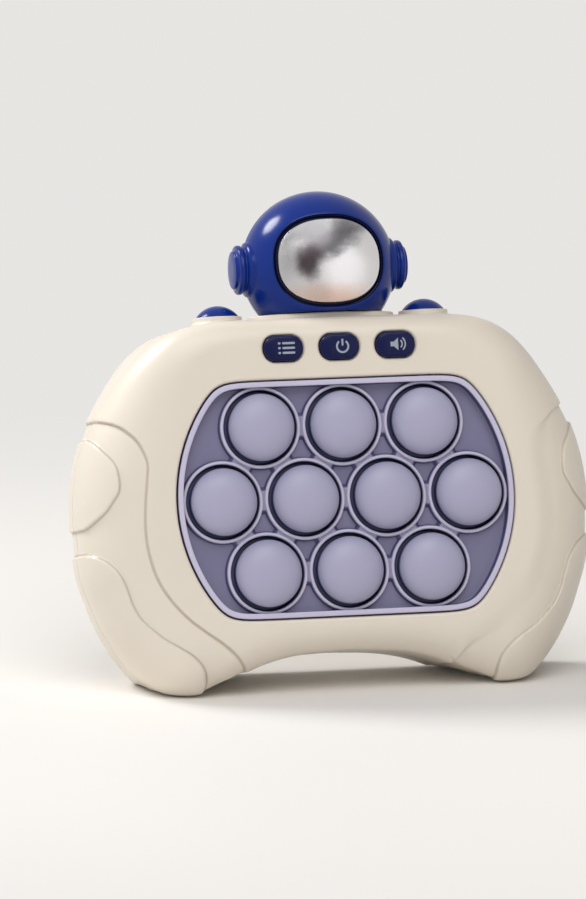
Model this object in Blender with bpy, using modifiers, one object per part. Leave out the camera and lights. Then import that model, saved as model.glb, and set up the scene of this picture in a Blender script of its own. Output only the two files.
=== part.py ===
# Electronic bubble pop game: a hand-held case that leans back on two grips,
# with ten sprung bubbles in a panel, five buttons and a helmet ornament on top.
# The case is modelled in its own axes: x across the face, y back into the case
# from the face, z up along the face. One empty then leans the whole case back.

import math

import bmesh
import bpy
import numpy as np
from mathutils import Matrix, Vector

mm = 0.001

# Driving dimensions of the case
lean_angle = math.radians(12.3)
case_half_width = 75.4 * mm
crown_height = 50.4 * mm
foot_drop = 53.9 * mm
front_depth = 20.0 * mm
rear_depth = 21.0 * mm
foot_front = 8.0 * mm
grip_reach = 22.0 * mm
rear_reach_share = 0.85
roll_share = 0.91
rim_band = 1.0 * mm
wall = 2.2 * mm
fit_gap = 0.3 * mm
part_gap = 0.3 * mm
overrun = 2.0 * mm
bite = 0.6 * mm
relief = 0.8 * mm
riser = 0.5 * mm

# Panel and bubble grid
row_counts = (3, 4, 3)
grip_width = 27.7 * mm
row_end_margin = 13.1 * mm
row_side_margin = 12.862 * mm
opening_side_offset = 0.8 * mm
opening_corner_power = 26
opening_bevel = 0.9 * mm
panel_gap = 0.45 * mm
panel_rim_width = 1.9 * mm
panel_rim_height = 0.2 * mm
panel_floor_depth = 1.2 * mm
panel_thickness = 2.6 * mm
panel_flange_width = 2.5 * mm
collar_spacing = 1.2 * mm
collar_half_width = 0.5 * mm
collar_height = 0.35 * mm
collar_lip = 0.55 * mm
bubble_groove = 1.35 * mm
bubble_rise = 5.9 * mm
bubble_edge = 0.6 * mm
bubble_wall = 1.2 * mm
bubble_travel = 4.0 * mm
skirt_clearance = 0.35 * mm
bubble_flange_overlap = 0.55 * mm
bubble_flange = 1.2 * mm
plunger_radius = 2.8 * mm
plunger_end = 8.5 * mm

# Board and contact mat
mat_top = plunger_end + bubble_travel + fit_gap
mat_pad_height = 0.5 * mm
mat_thickness = 0.6 * mm
mat_inset = 4.5 * mm
mat_pad_radius = 4.0 * mm
lamp_offset = 6.4 * mm
lamp_half = 0.8 * mm
lamp_height = 0.9 * mm
lamp_window_half = 1.3 * mm
board_front = mat_top + mat_pad_height + mat_thickness + fit_gap
board_thickness = 1.6 * mm
board_side_inset = 19.9 * mm
board_shoulder_inset = 33.4 * mm
board_bottom_inset = 23.9 * mm
board_shoulder_drop = 25.4 * mm
board_top_drop = 5.5 * mm

# Front buttons
button_spacing = 16.2 * mm
button_drop = 8.1 * mm
button_half_width = 6.0 * mm
button_half_height = 3.85 * mm
button_corner = 3.6 * mm
button_proud = 1.2 * mm
button_bevel = 0.5 * mm
button_flange = 1.1 * mm
button_flange_thickness = 1.2 * mm
button_travel = 1.0 * mm
button_stem_radius = 1.8 * mm
switch_half = 2.2 * mm
switch_body = 3.2 * mm
switch_nub = 0.8 * mm
switch_nub_radius = 1.2 * mm

# Shoulder buttons
shoulder_offset = 30.0 * mm
shoulder_radius = 6.15 * mm
shoulder_rise = 3.3 * mm
shoulder_collar_radius = 6.95 * mm
shoulder_collar_rise = 1.8 * mm
shoulder_stem_radius = 2.0 * mm
shoulder_stem_length = 5.0 * mm
shoulder_flange_radius = 7.2 * mm
shoulder_flange = 1.2 * mm
shoulder_travel = 1.2 * mm
shelf_thickness = 1.8 * mm
shelf_half_width = 4.0 * mm

# Helmet
helmet_rise = 15.6 * mm
helmet_half_width = 22.0 * mm
helmet_half_height = 21.6 * mm
helmet_half_depth = 18.8 * mm
helmet_wall = 3.0 * mm
helmet_collar_half_width = 21.0 * mm
helmet_collar_half_depth = 12.4 * mm
helmet_collar_rise = 1.6 * mm
neck_radius = 7.0 * mm
neck_flange_radius = 9.0 * mm
neck_flange = 1.4 * mm
visor_lift = 0.9 * mm
visor_half_width = 14.65 * mm
visor_half_height = 11.9 * mm
visor_power = 2.35
visor_edge_reach = 13.4 * mm
visor_crown_reach = 16.6 * mm
visor_thickness = 1.6 * mm
visor_ledge = 1.6 * mm
visor_rim = 1.1 * mm
visor_seat = 1.7 * mm
ear_radius = 7.0 * mm
ear_cap_radius = 5.5 * mm
ear_standoff = 3.3 * mm
ear_disc = 2.4 * mm
ear_pin_radius = 2.0 * mm
ear_pin_length = 3.0 * mm

# Case screws and the posts that take them
screw_places_shares = ((0.80, 0.40), (0.80, -0.22), (0.62, -0.75))
post_radius = 3.2 * mm
board_post_places_shares = ((0.695, 0.28), (0.695, -0.22))
board_post_radius = 2.3 * mm
screw_radius = 1.2 * mm
screw_hole_radius = 1.55 * mm
screw_head_radius = 2.6 * mm
screw_head = 1.6 * mm
screw_length = 12.0 * mm
counterbore_radius = 3.1 * mm
counterbore_depth = 12.0 * mm
counterbore_wall = 1.4 * mm
board_screw_length = 6.0 * mm
board_screw_head = 1.2 * mm

# Battery bay, cells and door
cell_radius = 5.25 * mm
cell_length = 44.5 * mm
cell_pitch = 11.0 * mm
cell_nub_radius = 1.9 * mm
cell_nub = 0.8 * mm
cell_count = 3
bay_centre = 6.0 * mm
contact_room = 4.25 * mm
bay_side_room = 1.75 * mm
cell_play = 0.7 * mm
bay_wall = 1.8 * mm
door_thickness = 1.8 * mm
door_lip = 2.2 * mm
door_corner = 3.0 * mm
door_top_lip = 1.0 * mm
door_bottom_lip = 10.0 * mm
tab_offset = 12.0 * mm
tab_half_width = 3.6 * mm
tab_thickness = 1.4 * mm
tab_length = 2.2 * mm
tab_root = 2.5 * mm
tab_slot_depth = 0.9 * mm
door_screw_drop = 5.0 * mm
door_screw_length = 6.4 * mm
door_screw_head = 0.7 * mm
door_counterbore = 1.1 * mm
door_screw_hole_radius = 2.0 * mm
contact_thickness = 0.5 * mm
contact_half_height = 15.5 * mm
contact_half_depth = 4.4 * mm
contact_spring_radius = 3.0 * mm
contact_spring_tip = 1.6 * mm
contact_nub_radius = 2.2 * mm

# Loudspeaker
speaker_side_inset = 30.4 * mm
speaker_height = 2.0 * mm
speaker_radius = 10.0 * mm
speaker_depth = 4.6 * mm
speaker_rim = 1.5 * mm
speaker_recess = 2.4 * mm
magnet_radius = 5.4 * mm
magnet_depth = 3.4 * mm
cone_thickness = 0.5 * mm
cone_dome = 1.0 * mm
speaker_ring_wall = 1.8 * mm
speaker_ring_depth = 5.0 * mm
grille_pitch = 3.2 * mm
grille_slot_half = 0.8 * mm
grille_reach = 7.2 * mm
grille_rows = 2

# Faceting
sharp_angle = math.radians(35.0)
merge_reach = 0.001 * mm
arc_steps = 18
bubble_steps = 16
small_steps = 8
panel_steps = 48
visor_steps = 28
dome_rows = 3
egg_steps = 32
egg_rows = 17
hollow_steps = 20
hollow_rows = 9

# Worked out from the sizes above
opening_side_radius = case_half_width - grip_width
row_length = 2.0 * (opening_side_radius + opening_side_offset - row_end_margin)
bubble_pitch = row_length / (max(row_counts) - 1)
row_spacing = bubble_pitch * math.sqrt(3.0) / 2.0
opening_half_height = row_spacing * (len(row_counts) - 1) / 2.0 + row_side_margin
collar_radius = (bubble_pitch - collar_spacing) / 2.0
bubble_hole_radius = collar_radius - collar_lip
bubble_radius = bubble_hole_radius - bubble_groove
skirt_radius = bubble_hole_radius - skirt_clearance
bubble_flange_radius = bubble_hole_radius + bubble_flange_overlap
board_half_width = case_half_width - board_side_inset
board_shoulder_half_width = case_half_width - board_shoulder_inset
board_bottom = board_bottom_inset - foot_drop
board_shoulder = crown_height - board_shoulder_drop
board_top = crown_height - board_top_drop
button_height = crown_height - button_drop
helmet_centre = crown_height + helmet_rise
visor_centre = helmet_centre + visor_lift
ear_reach = helmet_half_width + ear_standoff
case_back = front_depth + rear_depth
back_inside = case_back - wall
lean_slope = math.tan(lean_angle)
skirt_foot = panel_floor_depth + panel_thickness + fit_gap
board_back = board_front + board_thickness
bay_half_width = cell_length / 2.0 + contact_room
bay_half_height = cell_pitch * (cell_count - 1) / 2.0 + cell_radius + bay_side_room
bay_floor = case_back - door_thickness - 2.0 * cell_radius - cell_play
counterbore_floor = case_back - counterbore_depth
speaker_side = speaker_side_inset - case_half_width
visor_edge_depth = front_depth - visor_edge_reach
visor_crown = front_depth - visor_crown_reach
bay_top = bay_centre + bay_half_height
bay_bottom = bay_centre - bay_half_height
door_top = bay_top + door_top_lip
door_bottom = bay_bottom - door_bottom_lip
door_inside = case_back - door_thickness
helmet_base = crown_height + helmet_collar_rise + fit_gap

# Case outline from the crown round the right grip to the arch: share of the
# half width, share of the crown height or foot drop, share of the grip reach
outline_shares = (
    (0.000, 1.000, 0.30), (0.292, 1.000, 0.30), (0.504, 0.993, 0.34),
    (0.643, 0.940, 0.45), (0.751, 0.831, 0.60), (0.842, 0.665, 0.80),
    (0.905, 0.510, 0.92), (0.944, 0.390, 1.00), (0.977, 0.240, 1.00),
    (0.996, 0.080, 1.00), (1.000, -0.070, 1.00), (0.998, -0.190, 1.00),
    (0.987, -0.335, 1.00), (0.967, -0.428, 0.98), (0.939, -0.533, 0.95),
    (0.907, -0.636, 0.90), (0.862, -0.742, 0.85), (0.822, -0.818, 0.80),
    (0.779, -0.887, 0.75), (0.732, -0.947, 0.68), (0.683, -0.985, 0.62),
    (0.610, -1.000, 0.55), (0.554, -0.985, 0.50), (0.504, -0.952, 0.47),
    (0.434, -0.917, 0.44), (0.385, -0.880, 0.42), (0.312, -0.842, 0.40),
    (0.225, -0.812, 0.38), (0.119, -0.798, 0.36), (0.000, -0.793, 0.36),
)

# Edge between the raised body and the lower grip, as shares of the half width
# and the foot drop
grip_line_shares = (
    (0.895, 0.455), (0.846, 0.427), (0.809, 0.386), (0.779, 0.338), (0.756, 0.273),
    (0.744, 0.208), (0.749, 0.134), (0.757, 0.045), (0.763, -0.033), (0.765, -0.122),
    (0.760, -0.223), (0.743, -0.327), (0.723, -0.404), (0.696, -0.488), (0.660, -0.544),
    (0.614, -0.609), (0.554, -0.668), (0.497, -0.724), (0.448, -0.774), (0.419, -0.827),
    (0.398, -0.875),
)
# Directions, from the case centre, between which the pads lie
pad_turns = (
    (math.radians(-4.0), math.radians(16.0)),
    (math.radians(-57.0), math.radians(-10.5)),
)
pad_fade = math.radians(2.0)
lower_line_share = 0.65
line_fade = math.radians(14.0)
corner_angles = (32.5, 40.3, 48.5, 60.0, 75.0)
rear_flat_share = 0.72

# Places of the rings between two lines of the case, and on the visor
outer_shares = (0.0, 0.07, 0.27, 0.6, 1.0)
inner_shares = (0.0, 0.18, 0.5, 1.0)
front_wall_shares = (0.7, 0.35, 0.1, 0.0)
rear_wall_shares = (1.0, 0.6, 0.25, 0.0)
visor_ring_shares = (1.0, 0.9, 0.7, 0.45, 0.2)
column_step = math.radians(1.7)

finishes = {
    "ivory": ((0.74, 0.68, 0.57), 0.38, 0.0),
    "navy": ((0.02, 0.045, 0.26), 0.22, 0.0),
    "lavender": ((0.34, 0.33, 0.50), 0.45, 0.0),
    "bubble": ((0.40, 0.39, 0.58), 0.5, 0.0),
    "mirror": ((0.8, 0.8, 0.82), 0.12, 1.0),
    "board": ((0.02, 0.20, 0.08), 0.5, 0.0),
    "rubber": ((0.25, 0.25, 0.27), 0.7, 0.0),
    "steel": ((0.6, 0.6, 0.62), 0.3, 1.0),
    "black": ((0.03, 0.03, 0.03), 0.5, 0.0),
    "cell": ((0.12, 0.30, 0.14), 0.4, 0.0),
    "paper": ((0.16, 0.15, 0.14), 0.9, 0.0),
}


def clear_scene():
    for old in list(bpy.data.objects):
        bpy.data.objects.remove(old, do_unlink=True)


def make_collection(name):
    made = bpy.data.collections.new(name)
    bpy.context.scene.collection.children.link(made)
    return made


def make_material(name):
    colour, roughness, metallic = finishes[name]
    made = bpy.data.materials.new(name)
    made.use_nodes = True
    shader = made.node_tree.nodes["Principled BSDF"]
    shader.inputs["Base Color"].default_value = (*colour, 1.0)
    shader.inputs["Roughness"].default_value = roughness
    shader.inputs["Metallic"].default_value = metallic
    return made


# Objects

def place(mesh, name, finish, origin=(0.0, 0.0, 0.0)):
    """Adds the mesh, drawn in case axes, as an object whose origin is at the given place."""
    mesh.transform(Matrix.Translation(-Vector(origin)))
    made = bpy.data.objects.new(name, mesh)
    made.location = origin
    made.parent = stand
    if finish is None:
        cutters.objects.link(made)
        made.hide_render = True
        made.display_type = "WIRE"
    else:
        parts.objects.link(made)
        mesh.materials.append(materials[finish])
        mesh.shade_smooth()
        mesh.set_sharp_from_angle(angle=sharp_angle)
    return made


def mesh_from(shapes, name):
    """Joins the drawn shapes into one mesh."""
    drawn = bmesh.new()
    for shape in shapes:
        shape(drawn)
    mesh = bpy.data.meshes.new(name)
    drawn.to_mesh(mesh)
    drawn.free()
    return mesh


def change(target, operation, shapes, suffix):
    name = target.name + suffix
    step = target.modifiers.new(name, "BOOLEAN")
    step.operation = operation
    step.object = place(mesh_from(shapes, name), name, None, target.location)


def cut(target, shapes, suffix="_cuts"):
    """Takes the shapes, which don't meet each other, out of the target."""
    change(target, "DIFFERENCE", shapes, suffix)


def join(target, shapes, suffix="_joins"):
    """Adds the shapes, which don't meet each other, to the target."""
    change(target, "UNION", shapes, suffix)


# Shapes that a bmesh draws

def box(low, high):
    def draw(drawn):
        size = Vector(high) - Vector(low)
        middle = (Vector(high) + Vector(low)) / 2.0
        turn = Matrix.Translation(middle) @ Matrix.Diagonal((*size, 1.0))
        bmesh.ops.create_cube(drawn, size=1.0, matrix=turn)
    return draw


def rod(start, end, radius, end_radius=None, steps=arc_steps):
    """A cylinder, or a cone, between two points."""
    def draw(drawn):
        along = Vector(end) - Vector(start)
        middle = (Vector(end) + Vector(start)) / 2.0
        turn = Matrix.Translation(middle) @ along.to_track_quat("Z", "Y").to_matrix().to_4x4()
        bmesh.ops.create_cone(
            drawn, cap_ends=True, segments=steps, radius1=radius,
            radius2=radius if end_radius is None else end_radius, depth=along.length, matrix=turn,
        )
    return draw


def loft(rings, closed=False):
    """Skins rings of points; the ends are capped, or joined to each other when closed."""
    def draw(drawn):
        rows = [[drawn.verts.new(point) for point in ring] for ring in rings]
        pairs = list(zip(rows, rows[1:]))
        if closed:
            pairs.append((rows[-1], rows[0]))
        made = []
        for lower, upper in pairs:
            for i in range(len(lower)):
                j = (i + 1) % len(lower)
                made.append(drawn.faces.new((lower[i], lower[j], upper[j], upper[i])))
        if not closed:
            made.append(drawn.faces.new(rows[0]))
            made.append(drawn.faces.new(rows[-1]))
        bmesh.ops.recalc_face_normals(drawn, faces=made)
    return draw


def rounded_ring(centre, half_width, half_height, corner, depth, steps=5):
    """A rounded rectangle across the face, at one depth."""
    corner = min(corner, half_width, half_height)
    ring = []
    for turn in range(4):
        for step in range(steps + 1):
            angle = math.pi / 2.0 * (turn + step / steps)
            side = math.copysign(half_width - corner, math.cos(math.pi / 2.0 * (turn + 0.5)))
            rise = math.copysign(half_height - corner, math.sin(math.pi / 2.0 * (turn + 0.5)))
            ring.append((
                centre[0] + side + corner * math.cos(angle),
                depth,
                centre[1] + rise + corner * math.sin(angle),
            ))
    return ring


def superellipse_ring(centre, half_width, half_height, power, depths, steps):
    """A superellipse across the face; depths is one depth, or one for each point."""
    angle = np.linspace(0.0, 2.0 * math.pi, steps, endpoint=False)
    across = np.sign(np.cos(angle)) * np.abs(np.cos(angle)) ** (2.0 / power)
    upward = np.sign(np.sin(angle)) * np.abs(np.sin(angle)) ** (2.0 / power)
    depth = np.broadcast_to(depths, angle.shape)
    return np.stack((centre[0] + half_width * across, depth, centre[1] + half_height * upward), 1)


def upright_half(centre, half_width, half_depth, low, high, side, steps=arc_steps):
    """Half of an elliptic post that stands on the parting plane, for one half of the case."""
    angle = np.linspace(0.0, math.pi, steps // 2 + 1)
    across = centre + half_width * np.cos(angle)
    edge = front_depth + side * part_gap / 2.0
    depth = np.maximum(0.0, half_depth * np.sin(angle) - part_gap / 2.0) * side + edge
    lower = np.stack((across, depth, np.full_like(angle, low)), 1)
    upper = lower + (0.0, 0.0, high - low)
    return loft([lower, upper])


def turned(name, finish, profile, origin, axis, steps):
    """Turns a closed half profile of (radius, place along the axis) about one of its own axes."""
    points = list(profile)
    area = sum(a[0] * b[1] - b[0] * a[1] for a, b in zip(points, points[1:] + points[:1]))
    if area > 0.0:
        points.reverse()
    mesh = bpy.data.meshes.new(name)
    if axis == "Y":
        corners = [(radius, along, 0.0) for radius, along in points]
    else:
        corners = [(radius, 0.0, along) for radius, along in points]
    mesh.from_pydata(corners, [(i, i + 1) for i in range(len(points) - 1)], [])
    made = bpy.data.objects.new(name, mesh)
    parts.objects.link(made)
    made.location = origin
    made.parent = stand
    spin = made.modifiers.new("turn", "SCREW")
    spin.axis = axis
    spin.steps = steps
    spin.render_steps = steps
    spin.use_merge_vertices = True
    spin.merge_threshold = merge_reach
    mesh.materials.append(materials[finish])
    return made


# The case surface

def smooth_curve(points, steps):
    """A Catmull-Rom curve through the points."""
    padded = np.vstack((2.0 * points[0] - points[1], points, 2.0 * points[-1] - points[-2]))
    share = np.linspace(0.0, 1.0, steps, endpoint=False)[:, None]
    pieces = []
    for a, b, c, d in zip(padded, padded[1:], padded[2:], padded[3:]):
        pieces.append(0.5 * (
            2.0 * b + (c - a) * share + (2.0 * a - 5.0 * b + 4.0 * c - d) * share**2
            + (3.0 * b - a - 3.0 * c + d) * share**3
        ))
    return np.vstack(pieces + [points[-1:]])


def half_outline(steps):
    """Right half of the case outline, crown to arch: place and reach of the rounding."""
    shares = np.array(outline_shares)
    height = np.where(shares[:, 1] > 0.0, crown_height, foot_drop)
    points = np.stack((shares[:, 0] * case_half_width, shares[:, 1] * height,
                       shares[:, 2] * grip_reach), 1)
    return smooth_curve(points, steps)


def line_radius(shares, angles):
    """Distance of a moulded edge from the case centre at each angle, and how far outside its
    ends the angle lies."""
    points = np.array(shares) * (case_half_width, foot_drop)
    turn = np.arctan2(points[:, 1], points[:, 0])[::-1]
    radius = np.hypot(points[:, 0], points[:, 1])[::-1]
    beyond = np.maximum(turn[0] - angles, angles - turn[-1])
    return np.interp(angles, turn, radius), beyond


def line_ends(shares):
    """Angles of the last points of a moulded edge, where it runs steeply to the outline."""
    ends = shares[:3] + shares[-3:]
    return [math.atan2(v * foot_drop, u * case_half_width) for u, v in ends]


class Columns:
    """Rays from the case centre, with the outline point, inward normal and reach of each."""

    def __init__(self):
        fine = half_outline(12)
        turn = np.arctan2(fine[:, 1], fine[:, 0])
        coarse = half_outline(1)
        angles = list(np.arctan2(coarse[:, 1], coarse[:, 0]))
        angles += [math.radians(extra) for extra in corner_angles]
        angles += line_ends(grip_line_shares)
        for low, high in pad_turns:
            angles += [low - pad_fade, low, high, high + pad_fade]
        right = np.unique(np.round(angles, 4))
        right = right[np.append(True, np.diff(right) > column_step)]
        left = math.pi - right[1:-1][::-1]
        self.turn = np.concatenate((right, left))
        self.fold = np.where(self.turn > math.pi / 2.0, math.pi - self.turn, self.turn)
        self.side = np.where(self.turn > math.pi / 2.0, -1.0, 1.0)
        order = np.argsort(turn)
        radius = np.interp(self.fold, turn[order], np.hypot(fine[:, 0], fine[:, 1])[order])
        self.reach = np.interp(self.fold, turn[order], fine[order, 2])
        self.ray = np.stack((np.cos(self.turn), np.sin(self.turn)), 1)
        self.outline = radius[:, None] * self.ray
        self.radius = radius
        ahead = np.roll(self.outline, -1, 0) - np.roll(self.outline, 1, 0)
        self.inward = np.stack((-ahead[:, 1], ahead[:, 0]), 1)
        self.inward /= np.linalg.norm(self.inward, axis=1)[:, None]
        both = np.vstack((fine[:, :2], (fine * (-1.0, 1.0, 1.0))[::-1, :2]))
        self.border = both

    def distance(self, points):
        """Shortest way from each point to the outline."""
        start = self.border[:-1]
        step = self.border[1:] - start
        square = np.maximum((step**2).sum(1), merge_reach**2)
        offset = points[:, None, :] - start[None]
        share = np.clip((offset * step).sum(2) / square, 0.0, 1.0)
        return np.sqrt(((offset - share[..., None] * step) ** 2).sum(2).min(1))


def floor_height(depth):
    """Height along the face of the table under the leaning case, at one depth."""
    return -foot_drop + (depth - foot_front) * lean_slope


def skin(columns, points, way, inset=0.0, sink=0.0):
    """Lifts points of the face plan onto the rounded case; way is -1 in front and 1 behind."""
    depth = front_depth if way < 0.0 else rear_depth
    reach = columns.reach * (1.0 if way < 0.0 else rear_reach_share)
    roll = np.minimum(reach * roll_share, depth - rim_band) - inset
    along = np.clip(1.0 - (columns.distance(points) - inset) / (reach - inset), 0.0, 1.0)
    rise = np.sqrt(1.0 - along**2)
    slope = np.stack((along / (reach - inset), rise / roll), 1)
    slope /= np.linalg.norm(slope, axis=1)[:, None]
    level = depth - inset - roll + roll * rise - sink * slope[:, 1]
    plan = points + columns.inward * (sink * slope[:, 0])[:, None]
    return np.stack((plan[:, 0], front_depth + way * level, plan[:, 1]), 1)


def opening_radius(angles, inset):
    """Panel opening from its centre: two side arcs and a flat band, blended at the corners."""
    arc = opening_side_radius - inset
    across = np.abs(np.cos(angles)) * opening_side_offset
    side = across + np.sqrt(arc**2 - opening_side_offset**2 + across**2)
    flat = (opening_half_height - inset) / np.maximum(np.abs(np.sin(angles)), merge_reach)
    near = np.minimum(side, flat)
    far = np.maximum(side, flat)
    power = opening_corner_power
    return near * (1.0 + (near / far) ** power) ** (-1.0 / power)


def at_parting(ring, way):
    """A ring moved straight to its edge of the parting line."""
    moved = ring.copy()
    moved[:, 1] = front_depth + way * part_gap / 2.0
    return moved


def floored(rings, inset=0.0):
    """Cuts the rings off level with the table, or with the inside of the wall on it."""
    for ring in rings:
        ring[:, 2] = np.maximum(ring[:, 2], floor_height(ring[:, 1]) + inset)
    return rings


def ramp(turn, start, end):
    """Rises smoothly from nothing at the start to one at the end."""
    share = np.clip((turn - start) / (end - start), 0.0, 1.0)
    return share * share * (3.0 - 2.0 * share)


def pad_shares_at(fold):
    """One where a thumb or palm pad brings the grip's side out to the level of the body."""
    share = 0.0 * fold
    for low, high in pad_turns:
        rising = ramp(fold, low - pad_fade, low)
        share += rising - ramp(fold, high, high + pad_fade)
    return share


def case_rings(columns, way, innermost):
    """Outer rings of one case half, from the parting line in to its innermost ring."""
    grip, past_grip = line_radius(grip_line_shares, columns.fold)
    width = columns.radius - opening_radius(columns.turn, -opening_bevel)
    edge = columns.radius - 3.0 * riser
    fade = ramp(past_grip, 0.0, line_fade)
    past = edge + (columns.radius - lower_line_share * width - edge) * fade
    grip = np.minimum(np.where(past_grip <= 0.0, grip, past), edge)
    grip_sink = np.where(past_grip <= 0.0, relief, 0.0)
    edge_sink = grip_sink * (1.0 - pad_shares_at(columns.fold))
    half = riser / 2.0
    rings = []
    for start, end, first, last, shares in (
        (columns.radius, grip + half, edge_sink, grip_sink, outer_shares),
        (grip - half, innermost, 0.0 * grip_sink, 0.0 * grip_sink, inner_shares),
    ):
        for share in shares:
            radius = start + (end - start) * share
            sink = first + (last - first) * share
            rings.append(skin(columns, radius[:, None] * columns.ray, way, 0.0, sink))
    return floored([at_parting(rings[0], way)] + rings)


def wall_rings(columns, target, shares, way):
    """Rings of the inside wall, each a share of the way from the outline to the target ring."""
    start = columns.outline + columns.inward * wall
    rings = [skin(columns, start + (target - start) * share, way, wall) for share in shares]
    return floored(rings + [at_parting(rings[-1], way)], wall)


def screw_places():
    for u, v in screw_places_shares:
        height = crown_height if v > 0.0 else foot_drop
        for side in (-1.0, 1.0):
            yield side * u * case_half_width, v * height


def board_post_places():
    for u, v in board_post_places_shares:
        height = crown_height if v > 0.0 else foot_drop
        for side in (-1.0, 1.0):
            yield side * u * case_half_width, v * height


def bubble_places():
    for row, count in enumerate(row_counts):
        for place_in_row in range(count):
            yield ((place_in_row - (count - 1) / 2.0) * bubble_pitch,
                   (len(row_counts) // 2 - row) * row_spacing)


def face_depth(columns, across, upward, way):
    """Depth of the outer skin at one place of the plan, with the nearest column's reach."""
    turn = math.atan2(upward, across)
    nearest = int(np.argmin(np.abs(np.angle(np.exp(1j * (columns.turn - turn))))))
    points = np.tile((across, upward), (len(columns.turn), 1))
    return float(skin(columns, points, way)[nearest, 1])


def button_places():
    for name, step in (("mode_button", -1.0), ("power_button", 0.0), ("volume_button", 1.0)):
        yield name, (step * button_spacing, button_height)


def collar_halves(way):
    """The raised collars round the shoulder buttons and under the helmet."""
    low = crown_height - wall + bite
    shapes = [upright_half(0.0, helmet_collar_half_width, helmet_collar_half_depth, low,
                           crown_height + helmet_collar_rise, way)]
    for side in (-1.0, 1.0):
        shapes.append(upright_half(side * shoulder_offset, shoulder_collar_radius,
                                   shoulder_collar_radius, low,
                                   crown_height + shoulder_collar_rise, way))
    return shapes


def collar_holes():
    low = crown_height - wall - overrun
    high = crown_height + helmet_collar_rise + overrun
    shapes = [rod((0.0, front_depth, low), (0.0, front_depth, high), neck_radius + fit_gap)]
    for side in (-1.0, 1.0):
        at = side * shoulder_offset
        shapes.append(rod((at, front_depth, low), (at, front_depth, high),
                          shoulder_radius + fit_gap))
    return shapes


def button_prism(centre, grow, start, end):
    """A prism of a front button's outline, larger all round."""
    return loft([rounded_ring(centre, button_half_width + grow, button_half_height + grow,
                              button_corner + grow, depth) for depth in (start, end)])


def make_front_shell(columns):
    rings = case_rings(columns, -1.0, opening_radius(columns.turn, -opening_bevel))
    flat = 0.0 * columns.turn
    edge = opening_radius(columns.turn, 0.0)[:, None] * columns.ray
    for depth in (flat + opening_bevel, flat + wall):
        rings.append(np.stack((edge[:, 0], depth, edge[:, 1]), 1))
    rings += wall_rings(columns, edge, front_wall_shares, -1.0)
    shell = place(mesh_from([loft(rings, closed=True)], "front_shell"), "front_shell", "ivory")
    posts = []
    holes = []
    post_end = front_depth - part_gap / 2.0
    for across, upward in screw_places():
        outer = math.hypot(across, upward)
        further = 1.0 + post_radius / outer
        start = face_depth(columns, across * further, upward * further, -1.0) + wall / 2.0 + relief
        posts.append(rod((across, start, upward), (across, post_end, upward), post_radius,
                         steps=small_steps))
        holes.append(rod((across, post_end + overrun, upward),
                         (across, counterbore_floor - screw_length - fit_gap, upward),
                         screw_hole_radius, steps=small_steps))
    for across, upward in board_post_places():
        end = board_front - fit_gap
        posts.append(rod((across, wall - bite, upward), (across, end, upward), board_post_radius,
                         steps=small_steps))
        holes.append(rod((across, end + overrun, upward),
                         (across, board_back + fit_gap - board_screw_length - fit_gap, upward),
                         screw_hole_radius, steps=small_steps))
    pockets = []
    for _, centre in button_places():
        holes.append(button_prism(centre, fit_gap, -overrun, wall + overrun))
        pockets.append(button_prism(centre, button_flange + fit_gap, wall, board_front - overrun))
    join(shell, collar_halves(-1.0), "_collars")
    join(shell, posts, "_posts")
    cut(shell, pockets, "_pockets")
    cut(shell, holes + collar_holes())
    return shell


def rear_shell_mesh(columns):
    """The rear half is closed by a flat back, inside and out."""
    outer = case_rings(columns, 1.0, rear_flat_share * columns.radius)
    flat = rear_flat_share * columns.outline
    inner = wall_rings(columns, flat, rear_wall_shares, 1.0)
    return mesh_from([loft(inner + outer)], "rear_shell")


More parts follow.
